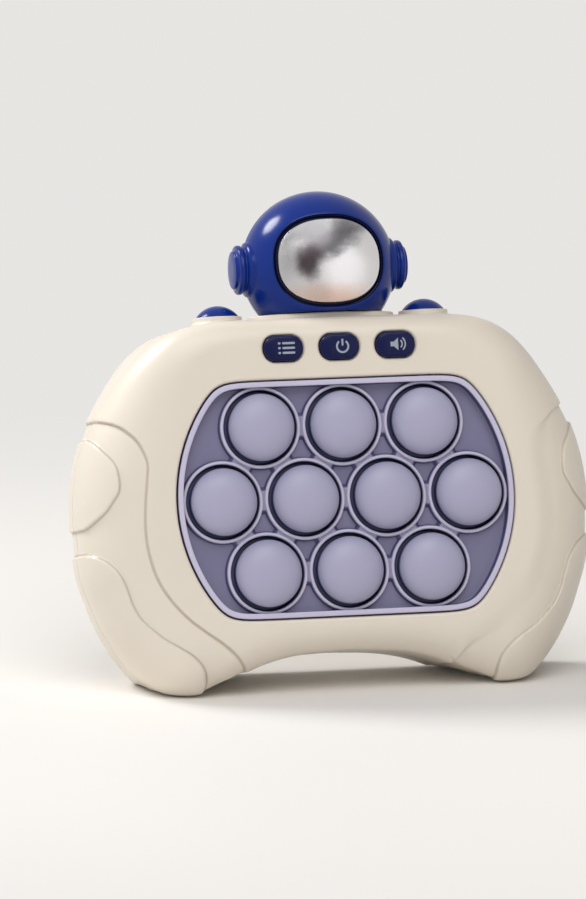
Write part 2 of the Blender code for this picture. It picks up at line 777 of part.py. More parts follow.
def make_rear_shell(columns):
    shell = place(rear_shell_mesh(columns), "rear_shell", "ivory")
    low = front_depth + part_gap / 2.0
    inside = back_inside + bite
    joins = [box((-bay_half_width - bay_wall, bay_floor - bay_wall, bay_bottom - bay_wall),
                 (bay_half_width + bay_wall, inside, bay_top + bay_wall))]
    wide = [box((-bay_half_width, bay_floor, bay_bottom), (bay_half_width, door_inside, bay_top))]
    narrow = []
    for across, upward in screw_places():
        further = 1.0 + post_radius / math.hypot(across, upward)
        end = face_depth(columns, across * further, upward * further, 1.0) - wall / 2.0 - relief
        joins.append(rod((across, low, upward), (across, end, upward),
                         counterbore_radius + counterbore_wall, steps=small_steps))
        wide.append(rod((across, counterbore_floor, upward),
                        (across, case_back + overrun, upward), counterbore_radius, steps=small_steps))
        narrow.append(rod((across, low - overrun, upward), (across, counterbore_floor + bite, upward),
                          screw_hole_radius, steps=small_steps))
    top = shelf_top() - fit_gap
    for side in (-1.0, 1.0):
        at = side * shoulder_offset
        joins.append(box((at - shelf_half_width, front_depth - switch_half, top - shelf_thickness),
                         (at + shelf_half_width, inside, top)))
    ring_front = back_inside - speaker_ring_depth
    joins.append(rod((speaker_side, ring_front, speaker_height), (speaker_side, inside, speaker_height),
                     speaker_radius + fit_gap + speaker_ring_wall))
    wide.append(rod((speaker_side, ring_front - overrun, speaker_height),
                    (speaker_side, back_inside + bite / 4.0, speaker_height), speaker_radius + fit_gap))
    middle = (door_top + door_bottom) / 2.0
    recess = loft([rounded_ring((0.0, middle), bay_half_width + door_lip + fit_gap,
                                (door_top - door_bottom) / 2.0 + fit_gap, door_corner, depth)
                   for depth in (door_inside - fit_gap, case_back + overrun)])
    for step in range(-grille_rows, grille_rows + 1):
        rise = step * grille_pitch
        half = math.sqrt(grille_reach**2 - rise**2)
        narrow.append(box(
            (speaker_side - half, back_inside - overrun, speaker_height + rise - grille_slot_half),
            (speaker_side + half, case_back + overrun, speaker_height + rise + grille_slot_half)))
    slot_inside = door_inside - 2.0 * fit_gap - tab_thickness - tab_slot_depth
    for side in (-1.0, 1.0):
        at = side * tab_offset
        half = tab_half_width + fit_gap
        narrow.append(box((at - half, slot_inside, bay_top - bite),
                          (at + half, door_inside - fit_gap / 2.0, door_top + tab_length + 2.0 * fit_gap)))
    high = door_screw_height()
    narrow.append(rod((0.0, door_inside + fit_gap, high), (0.0, door_inside - door_screw_length, high),
                      door_screw_hole_radius, steps=small_steps))
    join(shell, collar_halves(1.0), "_collars")
    join(shell, joins, "_posts")
    ledge = bay_half_width + door_lip + fit_gap + bay_wall
    join(shell, [box((-ledge, slot_inside - bay_wall, door_bottom - fit_gap - bay_wall),
                     (ledge, inside, door_top + tab_length + fit_gap + bay_wall))], "_ledge")
    join(shell, [rod((0.0, slot_inside - door_screw_length, high), (0.0, inside - bite, high),
                     counterbore_radius)], "_boss")
    cut(shell, wide + collar_holes(), "_wide_cuts")
    cut(shell, [recess], "_door_recess")
    cut(shell, narrow, "_narrow_cuts")


def shelf_top():
    """Height of the shoulder switch's underside."""
    return stem_tip() - shoulder_travel - 2.0 * fit_gap - switch_nub - switch_body


def stem_tip():
    """Lower end of the shoulder button's stem."""
    return crown_height + shoulder_collar_rise - wall - shoulder_stem_length


def door_screw_height():
    return door_bottom + door_screw_drop


# Panel and bubbles

def make_panel():
    turn = np.linspace(0.0, 2.0 * math.pi, panel_steps, endpoint=False)
    ray = np.stack((np.cos(turn), np.sin(turn)), 1)
    back = panel_floor_depth + panel_thickness
    front = wall + fit_gap
    half_rim = panel_rim_width / 4.0
    sections = (
        (-panel_flange_width, back), (-panel_flange_width, front), (panel_gap, front),
        (panel_gap, panel_rim_height), (panel_gap + half_rim, -panel_rim_height),
        (panel_gap + panel_rim_width - half_rim, -panel_rim_height),
        (panel_gap + panel_rim_width, panel_floor_depth),
    )
    rings = []
    for inset, depth in sections:
        plan = opening_radius(turn, inset)[:, None] * ray
        rings.append(np.stack((plan[:, 0], np.full_like(turn, depth), plan[:, 1]), 1))
    panel = place(mesh_from([loft(rings)], "bubble_panel"), "bubble_panel", "lavender")
    low = panel_floor_depth + bite
    inner = bubble_hole_radius - bite
    crest = collar_radius
    rim = collar_half_width
    profile = ((inner, low), (crest, -collar_height), (crest + rim, rim), (crest + rim, low))
    collars = []
    holes = []
    for across, upward in bubble_places():
        spin = np.linspace(0.0, 2.0 * math.pi, arc_steps, endpoint=False)
        rings = [np.stack((across + radius * np.cos(spin), np.full_like(spin, depth),
                           upward + radius * np.sin(spin)), 1) for radius, depth in profile]
        collars.append(loft(rings, closed=True))
        holes.append(rod((across, -overrun, upward), (across, back + overrun, upward),
                         bubble_hole_radius))
    join(panel, collars)
    cut(panel, holes)


def bubble_profile():
    """Half section of a bubble: plunger, hollow, skirt, flange and dome."""
    radius = (bubble_radius**2 + bubble_rise**2) / (2.0 * bubble_rise)
    spread = math.asin(bubble_radius / radius)
    angles = [spread * step / dome_rows for step in range(dome_rows, -1, -1)]
    dome = [(radius * math.sin(angle),
             bubble_edge - bubble_rise + radius * (1.0 - math.cos(angle))) for angle in angles]
    hollow = bubble_radius - bubble_wall
    top = bubble_edge - bubble_rise + 2.0 * bubble_wall
    return [(0.0, plunger_end), (plunger_radius, plunger_end), (plunger_radius, top),
            (hollow, bubble_edge + bubble_wall / 2.0), (hollow, skirt_foot + bubble_flange),
            (bubble_flange_radius, skirt_foot + bubble_flange), (bubble_flange_radius, skirt_foot),
            (skirt_radius, skirt_foot), (skirt_radius, bubble_edge + bubble_wall)] + dome


def make_bubbles():
    profile = bubble_profile()
    for number, (across, upward) in enumerate(bubble_places(), 1):
        turned(f"bubble_{number:02d}", "bubble", profile, (across, 0.0, upward), "Y", bubble_steps)


# Buttons and switches

def make_front_buttons():
    flange_front = wall + fit_gap
    flange_back = flange_front + button_flange_thickness
    switch_top = board_front - fit_gap - switch_body - switch_nub
    stem_end = switch_top - fit_gap - button_travel
    for name, centre in button_places():
        def ring(grow, depth):
            return rounded_ring(centre, button_half_width + grow, button_half_height + grow,
                                button_corner + grow, depth)
        stem = [rounded_ring(centre, button_stem_radius, button_stem_radius, button_stem_radius, depth)
                for depth in (stem_end, flange_back)]
        rings = stem + [ring(button_flange, flange_back), ring(button_flange, flange_front),
                        ring(0.0, flange_front), ring(0.0, button_bevel - button_proud),
                        ring(-button_bevel, -button_proud)]
        place(mesh_from([loft(rings)], name), name, "navy", (centre[0], 0.0, centre[1]))
        switch = name.replace("button", "switch")
        across, upward = centre
        body = place(mesh_from([box(
            (across - switch_half, board_front - fit_gap - switch_body, upward - switch_half),
            (across + switch_half, board_front - fit_gap, upward + switch_half))], switch),
            switch, "black")
        join(body, [rod((across, board_front - fit_gap - bite, upward), (across, switch_top, upward),
                        switch_nub_radius, steps=small_steps)])


def make_shoulder_buttons():
    collar_top = crown_height + shoulder_collar_rise
    under = crown_height - wall - 2.0 * fit_gap
    radius = (shoulder_radius**2 + shoulder_rise**2) / (2.0 * shoulder_rise)
    spread = math.asin(shoulder_radius / radius)
    angles = [spread * step / dome_rows for step in range(dome_rows + 1)]
    dome = [(radius * math.sin(angle),
             collar_top + shoulder_rise - radius * (1.0 - math.cos(angle))) for angle in angles]
    tip = stem_tip()
    profile = dome + [(shoulder_radius, under), (shoulder_flange_radius, under),
                      (shoulder_flange_radius, under - shoulder_flange),
                      (shoulder_stem_radius, under - shoulder_flange), (shoulder_stem_radius, tip),
                      (0.0, tip)]
    profile = [(r, z - collar_top) for r, z in profile]
    top = shelf_top() + switch_body
    for side, word in ((-1.0, "left"), (1.0, "right")):
        at = side * shoulder_offset
        turned(f"{word}_shoulder_button", "navy", profile, (at, front_depth, collar_top), "Z", arc_steps)
        name = f"{word}_shoulder_switch"
        body = place(mesh_from([box(
            (at - switch_half, front_depth - switch_half, shelf_top()),
            (at + switch_half, front_depth + switch_half, top))], name), name, "black")
        join(body, [rod((at, front_depth, top - bite), (at, front_depth, top + switch_nub),
                        switch_nub_radius, steps=small_steps)])


# Helmet

def ellipsoid(shrink, low, steps, rows):
    """The helmet's egg, cut flat at its base."""
    def draw(drawn):
        size = Matrix.Diagonal((helmet_half_width - shrink, helmet_half_depth - shrink,
                                helmet_half_height - shrink, 1.0))
        half_step = Matrix.Rotation(math.pi / steps, 4, "Z")
        turn = Matrix.Translation((0.0, front_depth, helmet_centre)) @ size @ half_step
        made = bmesh.ops.create_uvsphere(drawn, u_segments=steps, v_segments=rows, radius=1.0,
                                         matrix=turn)
        for corner in made["verts"]:
            corner.co.z = max(corner.co.z, low)
    return draw


def make_helmet():
    middle = Vector((0.0, front_depth, 0.0))
    up = Vector((0.0, 0.0, 1.0))
    across = Vector((1.0, 0.0, 0.0))
    neck_low = crown_height - wall - fit_gap - neck_flange
    floor = helmet_base + helmet_wall
    ledge = visor_edge_depth + visor_thickness + fit_gap
    reach = 2.0 * helmet_half_width
    for name, way in (("helmet_front", -1.0), ("helmet_rear", 1.0)):
        half = place(mesh_from([ellipsoid(0.0, helmet_base, egg_steps, egg_rows)], name), name, "navy")
        cut(half, [ellipsoid(helmet_wall, floor, hollow_steps, hollow_rows)], "_hollow")
        join(half, [rod(middle + up * (neck_low + neck_flange / 2.0), middle + up * (floor - bite),
                        neck_radius)], "_neck")
        join(half, [rod(middle + up * neck_low, middle + up * (neck_low + neck_flange),
                        neck_flange_radius)], "_flange")
        hub = middle + up * helmet_centre
        pins = [rod(hub + across * side * reach,
                    hub + across * side * (helmet_half_width - 2.0 * helmet_wall),
                    ear_pin_radius + fit_gap, steps=small_steps) for side in (-1.0, 1.0)]
        cut(half, pins, "_pins")
        if way < 0.0:
            join(half, [visor_prism(visor_rim + bite, ledge - fit_gap / 2.0, ledge + visor_seat)],
                 "_seat")
            cut(half, [visor_prism(visor_rim, -overrun, ledge)], "_recess")
            cut(half, [visor_prism(-visor_ledge, -overrun, front_depth - helmet_wall)], "_window")
        edge = front_depth + way * part_gap / 2.0
        near, far = sorted((edge, edge - way * reach))
        cut(half, [box((-reach, near, 0.0), (reach, far, helmet_centre + reach))], "_split")


def visor_prism(grow, start, end):
    """A prism of the visor's outline, larger or smaller all round."""
    return loft([superellipse_ring((0.0, visor_centre), visor_half_width + grow,
                                   visor_half_height + grow, visor_power, depth, visor_steps)
                 for depth in (start, end)])


def make_visor():
    rings = []
    back = visor_edge_depth + visor_thickness
    rings.append(superellipse_ring((0.0, visor_centre), visor_half_width, visor_half_height,
                                   visor_power, back, visor_steps))
    for share in visor_ring_shares:
        depth = visor_edge_depth - visor_crown * (1.0 - share**2)
        rings.append(superellipse_ring((0.0, visor_centre), visor_half_width * share,
                                       visor_half_height * share, visor_power, depth, visor_steps))
    place(mesh_from([loft(rings)], "visor"), "visor", "mirror")


def make_ear_pods():
    inner = helmet_half_width + fit_gap
    disc_end = inner + ear_disc
    for side, word in ((-1.0, "left"), (1.0, "right")):
        bevel = ear_disc / 4.0
        profile = [(ear_pin_radius, inner - ear_pin_length), (ear_pin_radius, inner),
                   (ear_radius, inner), (ear_radius, disc_end - bevel),
                   (ear_radius - bevel, disc_end), (ear_cap_radius, disc_end),
                   (ear_cap_radius, ear_reach - bevel), (ear_cap_radius - bevel, ear_reach)]
        spin = np.linspace(0.0, 2.0 * math.pi, arc_steps, endpoint=False)
        rings = []
        for radius, out in profile:
            rings.append(np.stack((np.full_like(spin, side * out), front_depth + radius * np.cos(spin),
                                   helmet_centre + radius * np.sin(spin)), 1))
        name = f"{word}_ear_pod"
        place(mesh_from([loft(rings)], name), name, "navy")


# Board, mat and speaker

def make_board():
    outline = ((-board_half_width, board_bottom), (board_half_width, board_bottom),
               (board_half_width, board_shoulder), (board_shoulder_half_width, board_top),
               (-board_shoulder_half_width, board_top), (-board_half_width, board_shoulder))
    rings = [[(u, depth, v) for u, v in outline] for depth in (board_front, board_back)]
    board = place(mesh_from([loft(rings)], "main_board"), "main_board", "board")
    lamps = []
    for across, upward in bubble_places():
        at = upward + lamp_offset
        lamps.append(box((across - lamp_half, board_front - lamp_height, at - lamp_half),
                         (across + lamp_half, board_front + bite, at + lamp_half)))
    join(board, lamps)
    holes = []
    for across, upward in board_post_places():
        holes.append(rod((across, board_front - overrun, upward), (across, board_back + overrun, upward),
                         screw_hole_radius, steps=small_steps))
    cut(board, holes)
    turn = np.linspace(0.0, 2.0 * math.pi, panel_steps // 2, endpoint=False)
    ray = np.stack((np.cos(turn), np.sin(turn)), 1)
    plan = opening_radius(turn, mat_inset)[:, None] * ray
    back = board_front - fit_gap
    front = back - mat_thickness
    rings = [np.stack((plan[:, 0], np.full_like(turn, depth), plan[:, 1]), 1) for depth in (back, front)]
    mat = place(mesh_from([loft(rings)], "contact_mat"), "contact_mat", "rubber")
    pads = []
    windows = []
    for across, upward in bubble_places():
        pads.append(rod((across, mat_top, upward), (across, front + bite / 2.0, upward), mat_pad_radius,
                        steps=small_steps))
        at = upward + lamp_offset
        windows.append(box((across - lamp_window_half, front - overrun, at - lamp_window_half),
                           (across + lamp_window_half, back + overrun, at + lamp_window_half)))
    join(mat, pads)
    cut(mat, windows)


def make_speaker():
    front = back_inside - fit_gap
    back = front - speaker_depth
    profile = [(0.0, back - magnet_depth), (magnet_radius, back - magnet_depth), (magnet_radius, back),
               (speaker_radius, back), (speaker_radius, front), (speaker_radius - speaker_rim, front),
               (speaker_radius - speaker_rim, front - speaker_recess), (0.0, front - speaker_recess)]
    turned("speaker_frame", "black", profile, (speaker_side, 0.0, speaker_height), "Y", arc_steps)
    rim = speaker_radius - speaker_rim - fit_gap
    base = front - speaker_recess + fit_gap
    top = base + cone_dome
    middle = rim / 2.0
    profile = [(0.0, base), (middle, base), (rim, top - cone_thickness), (rim, top),
               (middle, base + cone_thickness), (middle / 2.0, top), (0.0, top + cone_thickness)]
    turned("speaker_cone", "paper", profile, (speaker_side, 0.0, speaker_height), "Y", arc_steps)


# Battery bay

def cell_places():
    for step in range(cell_count):
        yield bay_centre + (step - (cell_count - 1) / 2.0) * cell_pitch


def make_cells():
    depth = bay_floor + fit_gap + cell_radius
    for number, upward in enumerate(cell_places(), 1):
        way = 1.0 if number % 2 else -1.0
        half = cell_length / 2.0
        body_end = half - cell_nub
        profile = [(cell_nub_radius, half), (cell_nub_radius, body_end), (cell_radius, body_end),
                   (cell_radius, -half)]
        spin = np.linspace(0.0, 2.0 * math.pi, arc_steps, endpoint=False)
        rings = []
        for radius, along in profile:
            rings.append(np.stack((np.full_like(spin, way * along), depth + radius * np.cos(spin),
                                   upward + radius * np.sin(spin)), 1))
        name = f"battery_cell_{number}"
        place(mesh_from([loft(rings)], name), name, "cell")


def make_contacts():
    depth = bay_floor + fit_gap + cell_radius
    end = cell_length / 2.0 + fit_gap
    for side, word in ((-1.0, "left"), (1.0, "right")):
        outer = bay_half_width - fit_gap
        inner = outer - contact_thickness
        name = f"{word}_battery_contact"
        low = min(side * inner, side * outer)
        high = max(side * inner, side * outer)
        plate = place(mesh_from([box((low, depth - contact_half_depth, bay_centre - contact_half_height),
                                     (high, depth + contact_half_depth, bay_centre + contact_half_height))],
                                name), name, "steel")
        bumps = []
        for number, upward in enumerate(cell_places(), 1):
            negative = (number % 2 == 1) == (side < 0.0)
            base = contact_spring_radius if negative else contact_nub_radius
            tip = contact_spring_tip
            bumps.append(rod((side * (outer - contact_thickness / 2.0), depth, upward),
                             (side * end, depth, upward), base, tip, steps=small_steps))
        join(plate, bumps)


def make_door():
    middle = (door_top + door_bottom) / 2.0
    centre = (0.0, middle)
    half_width = bay_half_width + door_lip
    half_height = (door_top - door_bottom) / 2.0 - fit_gap
    rings = [rounded_ring(centre, half_width, half_height, door_corner, depth)
             for depth in (door_inside, case_back)]
    hinge = (0.0, case_back, door_top - fit_gap / 2.0)
    door = place(mesh_from([loft(rings)], "battery_door"), "battery_door", "ivory", hinge)
    tab_outside = door_inside - fit_gap - fit_gap
    tabs = []
    for side in (-1.0, 1.0):
        at = side * tab_offset
        low = bay_top - fit_gap - tab_root
        outline = ((tab_outside - tab_thickness, low),
                   (tab_outside - tab_thickness, door_top + tab_length),
                   (tab_outside, door_top + tab_length), (tab_outside, bay_top - fit_gap),
                   (door_inside + bite, bay_top - fit_gap), (door_inside + bite, low))
        rings = [[(at + way * tab_half_width, depth, rise) for depth, rise in outline]
                 for way in (-1.0, 1.0)]
        tabs.append(loft(rings))
    join(door, tabs)
    high = door_screw_height()
    cuts = [rod((0.0, case_back - door_counterbore, high), (0.0, case_back + overrun, high),
                counterbore_radius)]
    cut(door, cuts)
    cut(door, [rod((0.0, door_inside - overrun, high), (0.0, case_back - bite, high),
                   screw_hole_radius, steps=small_steps)], "_hole")
    seat = case_back - door_counterbore + fit_gap
    screw_at(name="battery_door_screw", across=0.0, upward=high, seat=seat, head=door_screw_head,
             length=door_screw_length)


def screw_at(name, across, upward, seat, head, length):
    """A pan-head screw driven from behind, its head's underside at the seat."""
    slot = screw_head_radius / 3.0
    profile = [(0.0, seat - length), (screw_radius, seat - length + screw_radius),
               (screw_radius, seat), (screw_head_radius, seat), (screw_head_radius, seat + head / 2.0),
               (screw_head_radius - head / 3.0, seat + head), (slot, seat + head),
               (0.0, seat + head / 2.0)]
    turned(name, "steel", profile, (across, 0.0, upward), "Y", small_steps)


def make_case_screws():
    for number, (across, upward) in enumerate(screw_places(), 1):
        screw_at(f"case_screw_{number}", across, upward, counterbore_floor + fit_gap, screw_head,
                 screw_length)
    for number, (across, upward) in enumerate(board_post_places(), 1):
        screw_at(f"board_screw_{number}", across, upward, board_back + fit_gap, board_screw_head,
                 board_screw_length)


def stand_on_table():
    """Leans the case back about its feet and centres it over the origin."""
    stand.rotation_euler = (-lean_angle, 0.0, 0.0)
    rise = foot_drop * math.cos(lean_angle) + foot_front * math.sin(lean_angle)
    stand.location = (0.0, 0.0, rise)
    bpy.context.view_layer.update()
    graph = bpy.context.evaluated_depsgraph_get()
    depths = []
    for piece in parts.objects:
        if piece.type == "EMPTY":
            continue
        shown = piece.evaluated_get(graph)
        mesh = shown.to_mesh()
        corners = np.empty(len(mesh.vertices) * 3, np.float32)
        mesh.vertices.foreach_get("co", corners)
        shown.to_mesh_clear()
        turn = np.array(shown.matrix_world)
        depths.append(corners.reshape(-1, 3) @ turn[1, :3] + turn[1, 3])
    depths = np.concatenate(depths)
    stand.location.y = -(depths.min() + depths.max()) / 2.0


clear_scene()
parts = make_collection("bubble_pop_game")
cutters = make_collection("cutters")
materials = {name: make_material(name) for name in finishes}
stand = bpy.data.objects.new("stand", None)
parts.objects.link(stand)

case_columns = Columns()
make_front_shell(case_columns)
make_rear_shell(case_columns)
make_panel()
make_bubbles()
make_front_buttons()
make_shoulder_buttons()
make_helmet()
make_visor()
make_ear_pods()
make_board()
make_speaker()
make_cells()
make_contacts()
make_door()
make_case_screws()
stand_on_table()
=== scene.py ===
import math

import bmesh
import bpy
import numpy as np
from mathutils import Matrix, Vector


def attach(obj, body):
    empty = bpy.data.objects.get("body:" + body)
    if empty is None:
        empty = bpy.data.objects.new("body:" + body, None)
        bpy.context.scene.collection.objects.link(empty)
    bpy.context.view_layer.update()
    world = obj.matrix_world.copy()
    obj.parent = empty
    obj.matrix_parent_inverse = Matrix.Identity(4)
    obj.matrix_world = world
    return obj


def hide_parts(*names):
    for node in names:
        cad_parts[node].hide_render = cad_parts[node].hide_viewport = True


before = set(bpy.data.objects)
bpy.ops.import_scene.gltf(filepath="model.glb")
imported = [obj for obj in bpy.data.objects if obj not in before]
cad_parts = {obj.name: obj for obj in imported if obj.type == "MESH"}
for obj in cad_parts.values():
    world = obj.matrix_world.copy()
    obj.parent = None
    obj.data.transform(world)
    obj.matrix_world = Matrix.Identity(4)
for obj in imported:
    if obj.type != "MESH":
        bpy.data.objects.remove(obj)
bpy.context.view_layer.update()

mm = 0.001
lean = math.radians(12.3)
standY = -21.4045 * mm
standZ = 54.3670 * mm
sharpAngle = math.radians(40.0)
mergeWithin = 0.002 * mm
quarter = math.pi / 2.0
sides = ((-1.0, "left"), (1.0, "right"))


def inMetres(**sizes):
    # Sizes given in mm.
    return {name: np.array(size) * mm for name, size in sizes.items()}


# Case axes: x across the face, y back into the case, z up along the face

def toWorld(points):
    # Leans points given in case axes back as the case stands.
    points = np.asarray(points, float)
    y = points[..., 1]
    z = points[..., 2]
    c, s = math.cos(lean), math.sin(lean)
    return np.stack((points[..., 0], standY + y * c + z * s, standZ + z * c - y * s), -1)


def addObject(name, data):
    made = bpy.data.objects.new(name, data)
    bpy.context.scene.collection.objects.link(made)
    return made


def drawnObject(name, points, faces, merged=False):
    # An object from points in case axes, near ones merged if asked, with its faces turned outwards.
    mesh = bpy.data.meshes.new(name)
    mesh.from_pydata(toWorld(points).tolist(), [], faces)
    drawn = bmesh.new()
    drawn.from_mesh(mesh)
    if merged:
        bmesh.ops.remove_doubles(drawn, verts=drawn.verts, dist=mergeWithin)
    bmesh.ops.recalc_face_normals(drawn, faces=drawn.faces)
    drawn.to_mesh(mesh)
    drawn.free()
    return addObject(name, mesh)


def gridFaces(rows, columns, wrapRows=False, wrapColumns=True, caps=(), start=0):
    # Quads of a grid of rows by columns, as lists of corner numbers; caps closes its first row, its last
    # row or both with a face.
    r = np.arange(rows if wrapRows else rows - 1)[:, None]
    c = np.arange(columns if wrapColumns else columns - 1)[None, :]
    nextR = (r + 1) % rows
    nextC = (c + 1) % columns
    quads = np.stack((r * columns + c, r * columns + nextC, nextR * columns + nextC,
                      nextR * columns + c), -1).reshape(-1, 4)
    ends = [np.arange(columns) + row * columns
            for cap, row in (("first", 0), ("last", rows - 1)) if cap in caps]
    return [(face + start).tolist() for face in [*quads, *ends]]


def gridPiece(name, grid, material, body, replaced=(), wrapRows=False, wrapColumns=True, caps=()):
    # A piece from a grid of points, or from a list of rings.
    grid = np.array(grid)
    faces = gridFaces(*grid.shape[:2], wrapRows, wrapColumns, caps)
    made = drawnObject(name, grid.reshape(-1, 3), faces, merged=True)
    made.data.materials.append(material)
    made.data.shade_smooth()
    made.data.set_sharp_from_angle(angle=sharpAngle)
    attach(made, body)
    if replaced:
        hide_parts(*replaced)
    return made


def filleted(corners, steps=6):
    # A profile through (radius, height, fillet) corners, each rounded by a short curve.
    corners = [np.array(corner, float) for corner in corners]
    line = [corners[0][:2]]
    for before, corner, after in zip(corners, corners[1:], corners[2:]):
        here, size = corner[:2], corner[2]
        if size <= 0.0:
            line.append(here)
            continue
        back, ahead = before[:2] - here, after[:2] - here
        reach = min(size, 0.49 * np.linalg.norm(back), 0.49 * np.linalg.norm(ahead))
        first = here + back / np.linalg.norm(back) * reach
        last = here + ahead / np.linalg.norm(ahead) * reach
        for share in np.linspace(0.0, 1.0, steps):
            line.append((1 - share)**2 * first + 2 * share * (1 - share) * here + share**2 * last)
    line.append(corners[-1][:2])
    return np.array(line)


def fullTurn(count):
    return np.linspace(0.0, 2.0 * math.pi, count, endpoint=False)


def unit(angles):
    return np.stack((np.cos(angles), np.sin(angles)), 1)


def betweenSteps(count):
    return (np.arange(count) + 0.5) * 2.0 * math.pi / count


def turnedGrid(profile, centre, axis, steps=64):
    # Turns (radius, height) points about an axis of the case through the centre.
    spin = fullTurn(steps)
    radius = profile[:, 0:1]
    height = np.repeat(profile[:, 1:2], steps, 1)
    a = radius * np.cos(spin)
    b = radius * np.sin(spin)
    order = {"x": (height, a, b), "y": (a, height, b), "z": (a, b, height)}[axis]
    return np.stack(order, -1) + np.array(centre, float)


def atDepth(plan, depth):
    # Points of the face plane, set at a depth or at one depth each.
    return np.stack((plan[:, 0], np.broadcast_to(depth, len(plan)), plan[:, 1]), 1)


def smoothStep(value):
    value = np.clip(value, 0.0, 1.0)
    return value * value * (3.0 - 2.0 * value)


# Materials

def addNode(tree, kind, inputs, **settings):
    # A shader node with its settings; an input is linked where it is given a socket, and else set to the
    # value.
    node = tree.nodes.new("ShaderNode" + kind)
    for name, value in settings.items():
        setattr(node, name, value)
    for name, value in inputs.items():
        if isinstance(value, bpy.types.NodeSocket):
            tree.links.new(value, node.inputs[name])
        else:
            node.inputs[name].default_value = value
    return node


def maths(tree, operation, first, second=0.0):
    return addNode(tree, "Math", {0: first, 1: second}, operation=operation).outputs[0]


def vectorMaths(tree, operation, first, second, output="Vector"):
    return addNode(tree, "VectorMath", {0: first, 1: second}, operation=operation).outputs[output]


def objectPlace(tree):
    return addNode(tree, "TexCoord", {}).outputs["Object"]


def noiseAt(tree, place, scale, detail=2.0):
    return addNode(tree, "TexNoise", {"Vector": place, "Scale": scale, "Detail": detail})


def stepped(tree, value, low, high, start=0.0, end=1.0, kind="SMOOTHSTEP"):
    # Start + (end - start) * smooth step of the value from low to high
    return addNode(tree, "MapRange", {"Value": value, "From Min": low, "From Max": high,
                                                "To Min": start, "To Max": end},
                   interpolation_type=kind).outputs["Result"]


def mixed(tree, factor, first, second):
    # Colour = first * (1 - factor) + second * factor
    return addNode(tree, "Mix", {"Factor": factor, "A": first, "B": second},
                   data_type="RGBA").outputs["Result"]


def newMaterial(name, colour, roughness, metallic=0.0):
    made = bpy.data.materials.new(name)
    made.use_nodes = True
    shader = made.node_tree.nodes["Principled BSDF"]
    shader.inputs["Base Color"].default_value = (*colour, 1.0)
    shader.inputs["Roughness"].default_value = roughness
    shader.inputs["Metallic"].default_value = metallic
    return made, shader


grain = {"slow": (45.0, 3.0), "smear": (160.0, 4.0), "fineDetail": 2.0, "deep": 0.1 * mm}


def mouldedGroup():
    # Moulded plastic: colour = base times (1 + mottle * slow noise), roughness = base + spread * noise,
    # normal = bumped by fine grain.
    group = bpy.data.node_groups.new("moulded surface", "ShaderNodeTree")
    for way, sockets in (("INPUT", (("Colour", "Color"), ("Roughness", "Float"), ("Mottle", "Float"),
                                    ("Spread", "Float"), ("Grain", "Float"), ("Grain scale", "Float"))),
                         ("OUTPUT", (("Colour", "Color"), ("Roughness", "Float"), ("Normal", "Vector")))):
        for name, kind in sockets:
            group.interface.new_socket(name, in_out=way, socket_type="NodeSocket" + kind)
    start = group.nodes.new("NodeGroupInput").outputs
    end = group.nodes.new("NodeGroupOutput").inputs
    place = objectPlace(group)
    slow, smear, fine = [noiseAt(group, place, scale, detail).outputs["Fac"] for scale, detail in (
        grain["slow"], grain["smear"], (start["Grain scale"], grain["fineDetail"]))]
    shade = maths(group, "MULTIPLY", maths(group, "SUBTRACT", slow, 0.5), start["Mottle"])
    lighter = maths(group, "ADD", shade, 1.0)
    tint = addNode(group, "VectorMath", {0: start["Colour"], "Scale": lighter}, operation="SCALE")
    rough = maths(group, "MULTIPLY", maths(group, "SUBTRACT", smear, 0.5), start["Spread"])
    bump = addNode(group, "Bump", {"Distance": grain["deep"], "Strength": start["Grain"],
                                             "Height": fine})
    group.links.new(tint.outputs[0], end["Colour"])
    group.links.new(maths(group, "ADD", start["Roughness"], rough), end["Roughness"])
    group.links.new(bump.outputs["Normal"], end["Normal"])
    return group


moulded = mouldedGroup()


def mouldedMaterial(name, colour, roughness, mottle, spread, strength, scale=3000.0, metallic=0.0,
                    specular=0.5):
    made, shader = newMaterial(name, colour, roughness, metallic)
    shader.inputs["Specular IOR Level"].default_value = specular
    surface = addNode(made.node_tree, "Group", {
        "Colour": (*colour, 1.0), "Roughness": roughness, "Mottle": mottle, "Spread": spread,
        "Grain": strength, "Grain scale": scale}, node_tree=moulded)
    for output, socket in (("Colour", "Base Color"), ("Roughness", "Roughness"), ("Normal", "Normal")):
        made.node_tree.links.new(surface.outputs[output], shader.inputs[socket])
    return made


def paint(material, maskOf, colour):
    # Mixes a colour over what a moulded material has, by the mask that maskOf makes in its tree
    tree = material.node_tree
    socket = next(node for node in tree.nodes if node.type == "GROUP").inputs["Colour"]
    under = socket.links[0].from_socket if socket.links else socket.default_value
    tree.links.new(mixed(tree, maskOf(tree), under, (*colour, 1.0)), socket)


def depthShadeMask(start, end):
    # Mask = 1 - smooth step, from start to end, of the depth into the panel:
    # y * cos(lean) - z * sin(lean) less the same for the middle of the grid. It places light and shade
    # painted by depth.
    def mask(tree):
        into = (0.0, math.cos(lean), -math.sin(lean))
        here = standY * into[1] + standZ * into[2]
        depth = vectorMaths(tree, "DOT_PRODUCT", objectPlace(tree), into, "Value")
        return stepped(tree, depth, here + start, here + end, 1.0, 0.0)
    return mask


def seamMask(strength):
    # Mask = strength * (1 - smooth step, up to the half width of the painted shade line, of the way to the
    # nearest line): painted shade at the foot of the relief steps
    def mask(tree):
        stored = addNode(tree, "Attribute", {}, attribute_name="seam").outputs["Vector"]
        offset = vectorMaths(tree, "SUBTRACT", stored, (seamFar, seamFar, seamFar))
        ways = addNode(tree, "SeparateXYZ", {0: offset}).outputs
        x, y, z = [maths(tree, "ABSOLUTE", way) for way in ways]
        nearest = maths(tree, "MINIMUM", maths(tree, "MINIMUM", x, y), z)
        return stepped(tree, nearest, 0.0, case["seam"], strength, 0.0)
    return mask
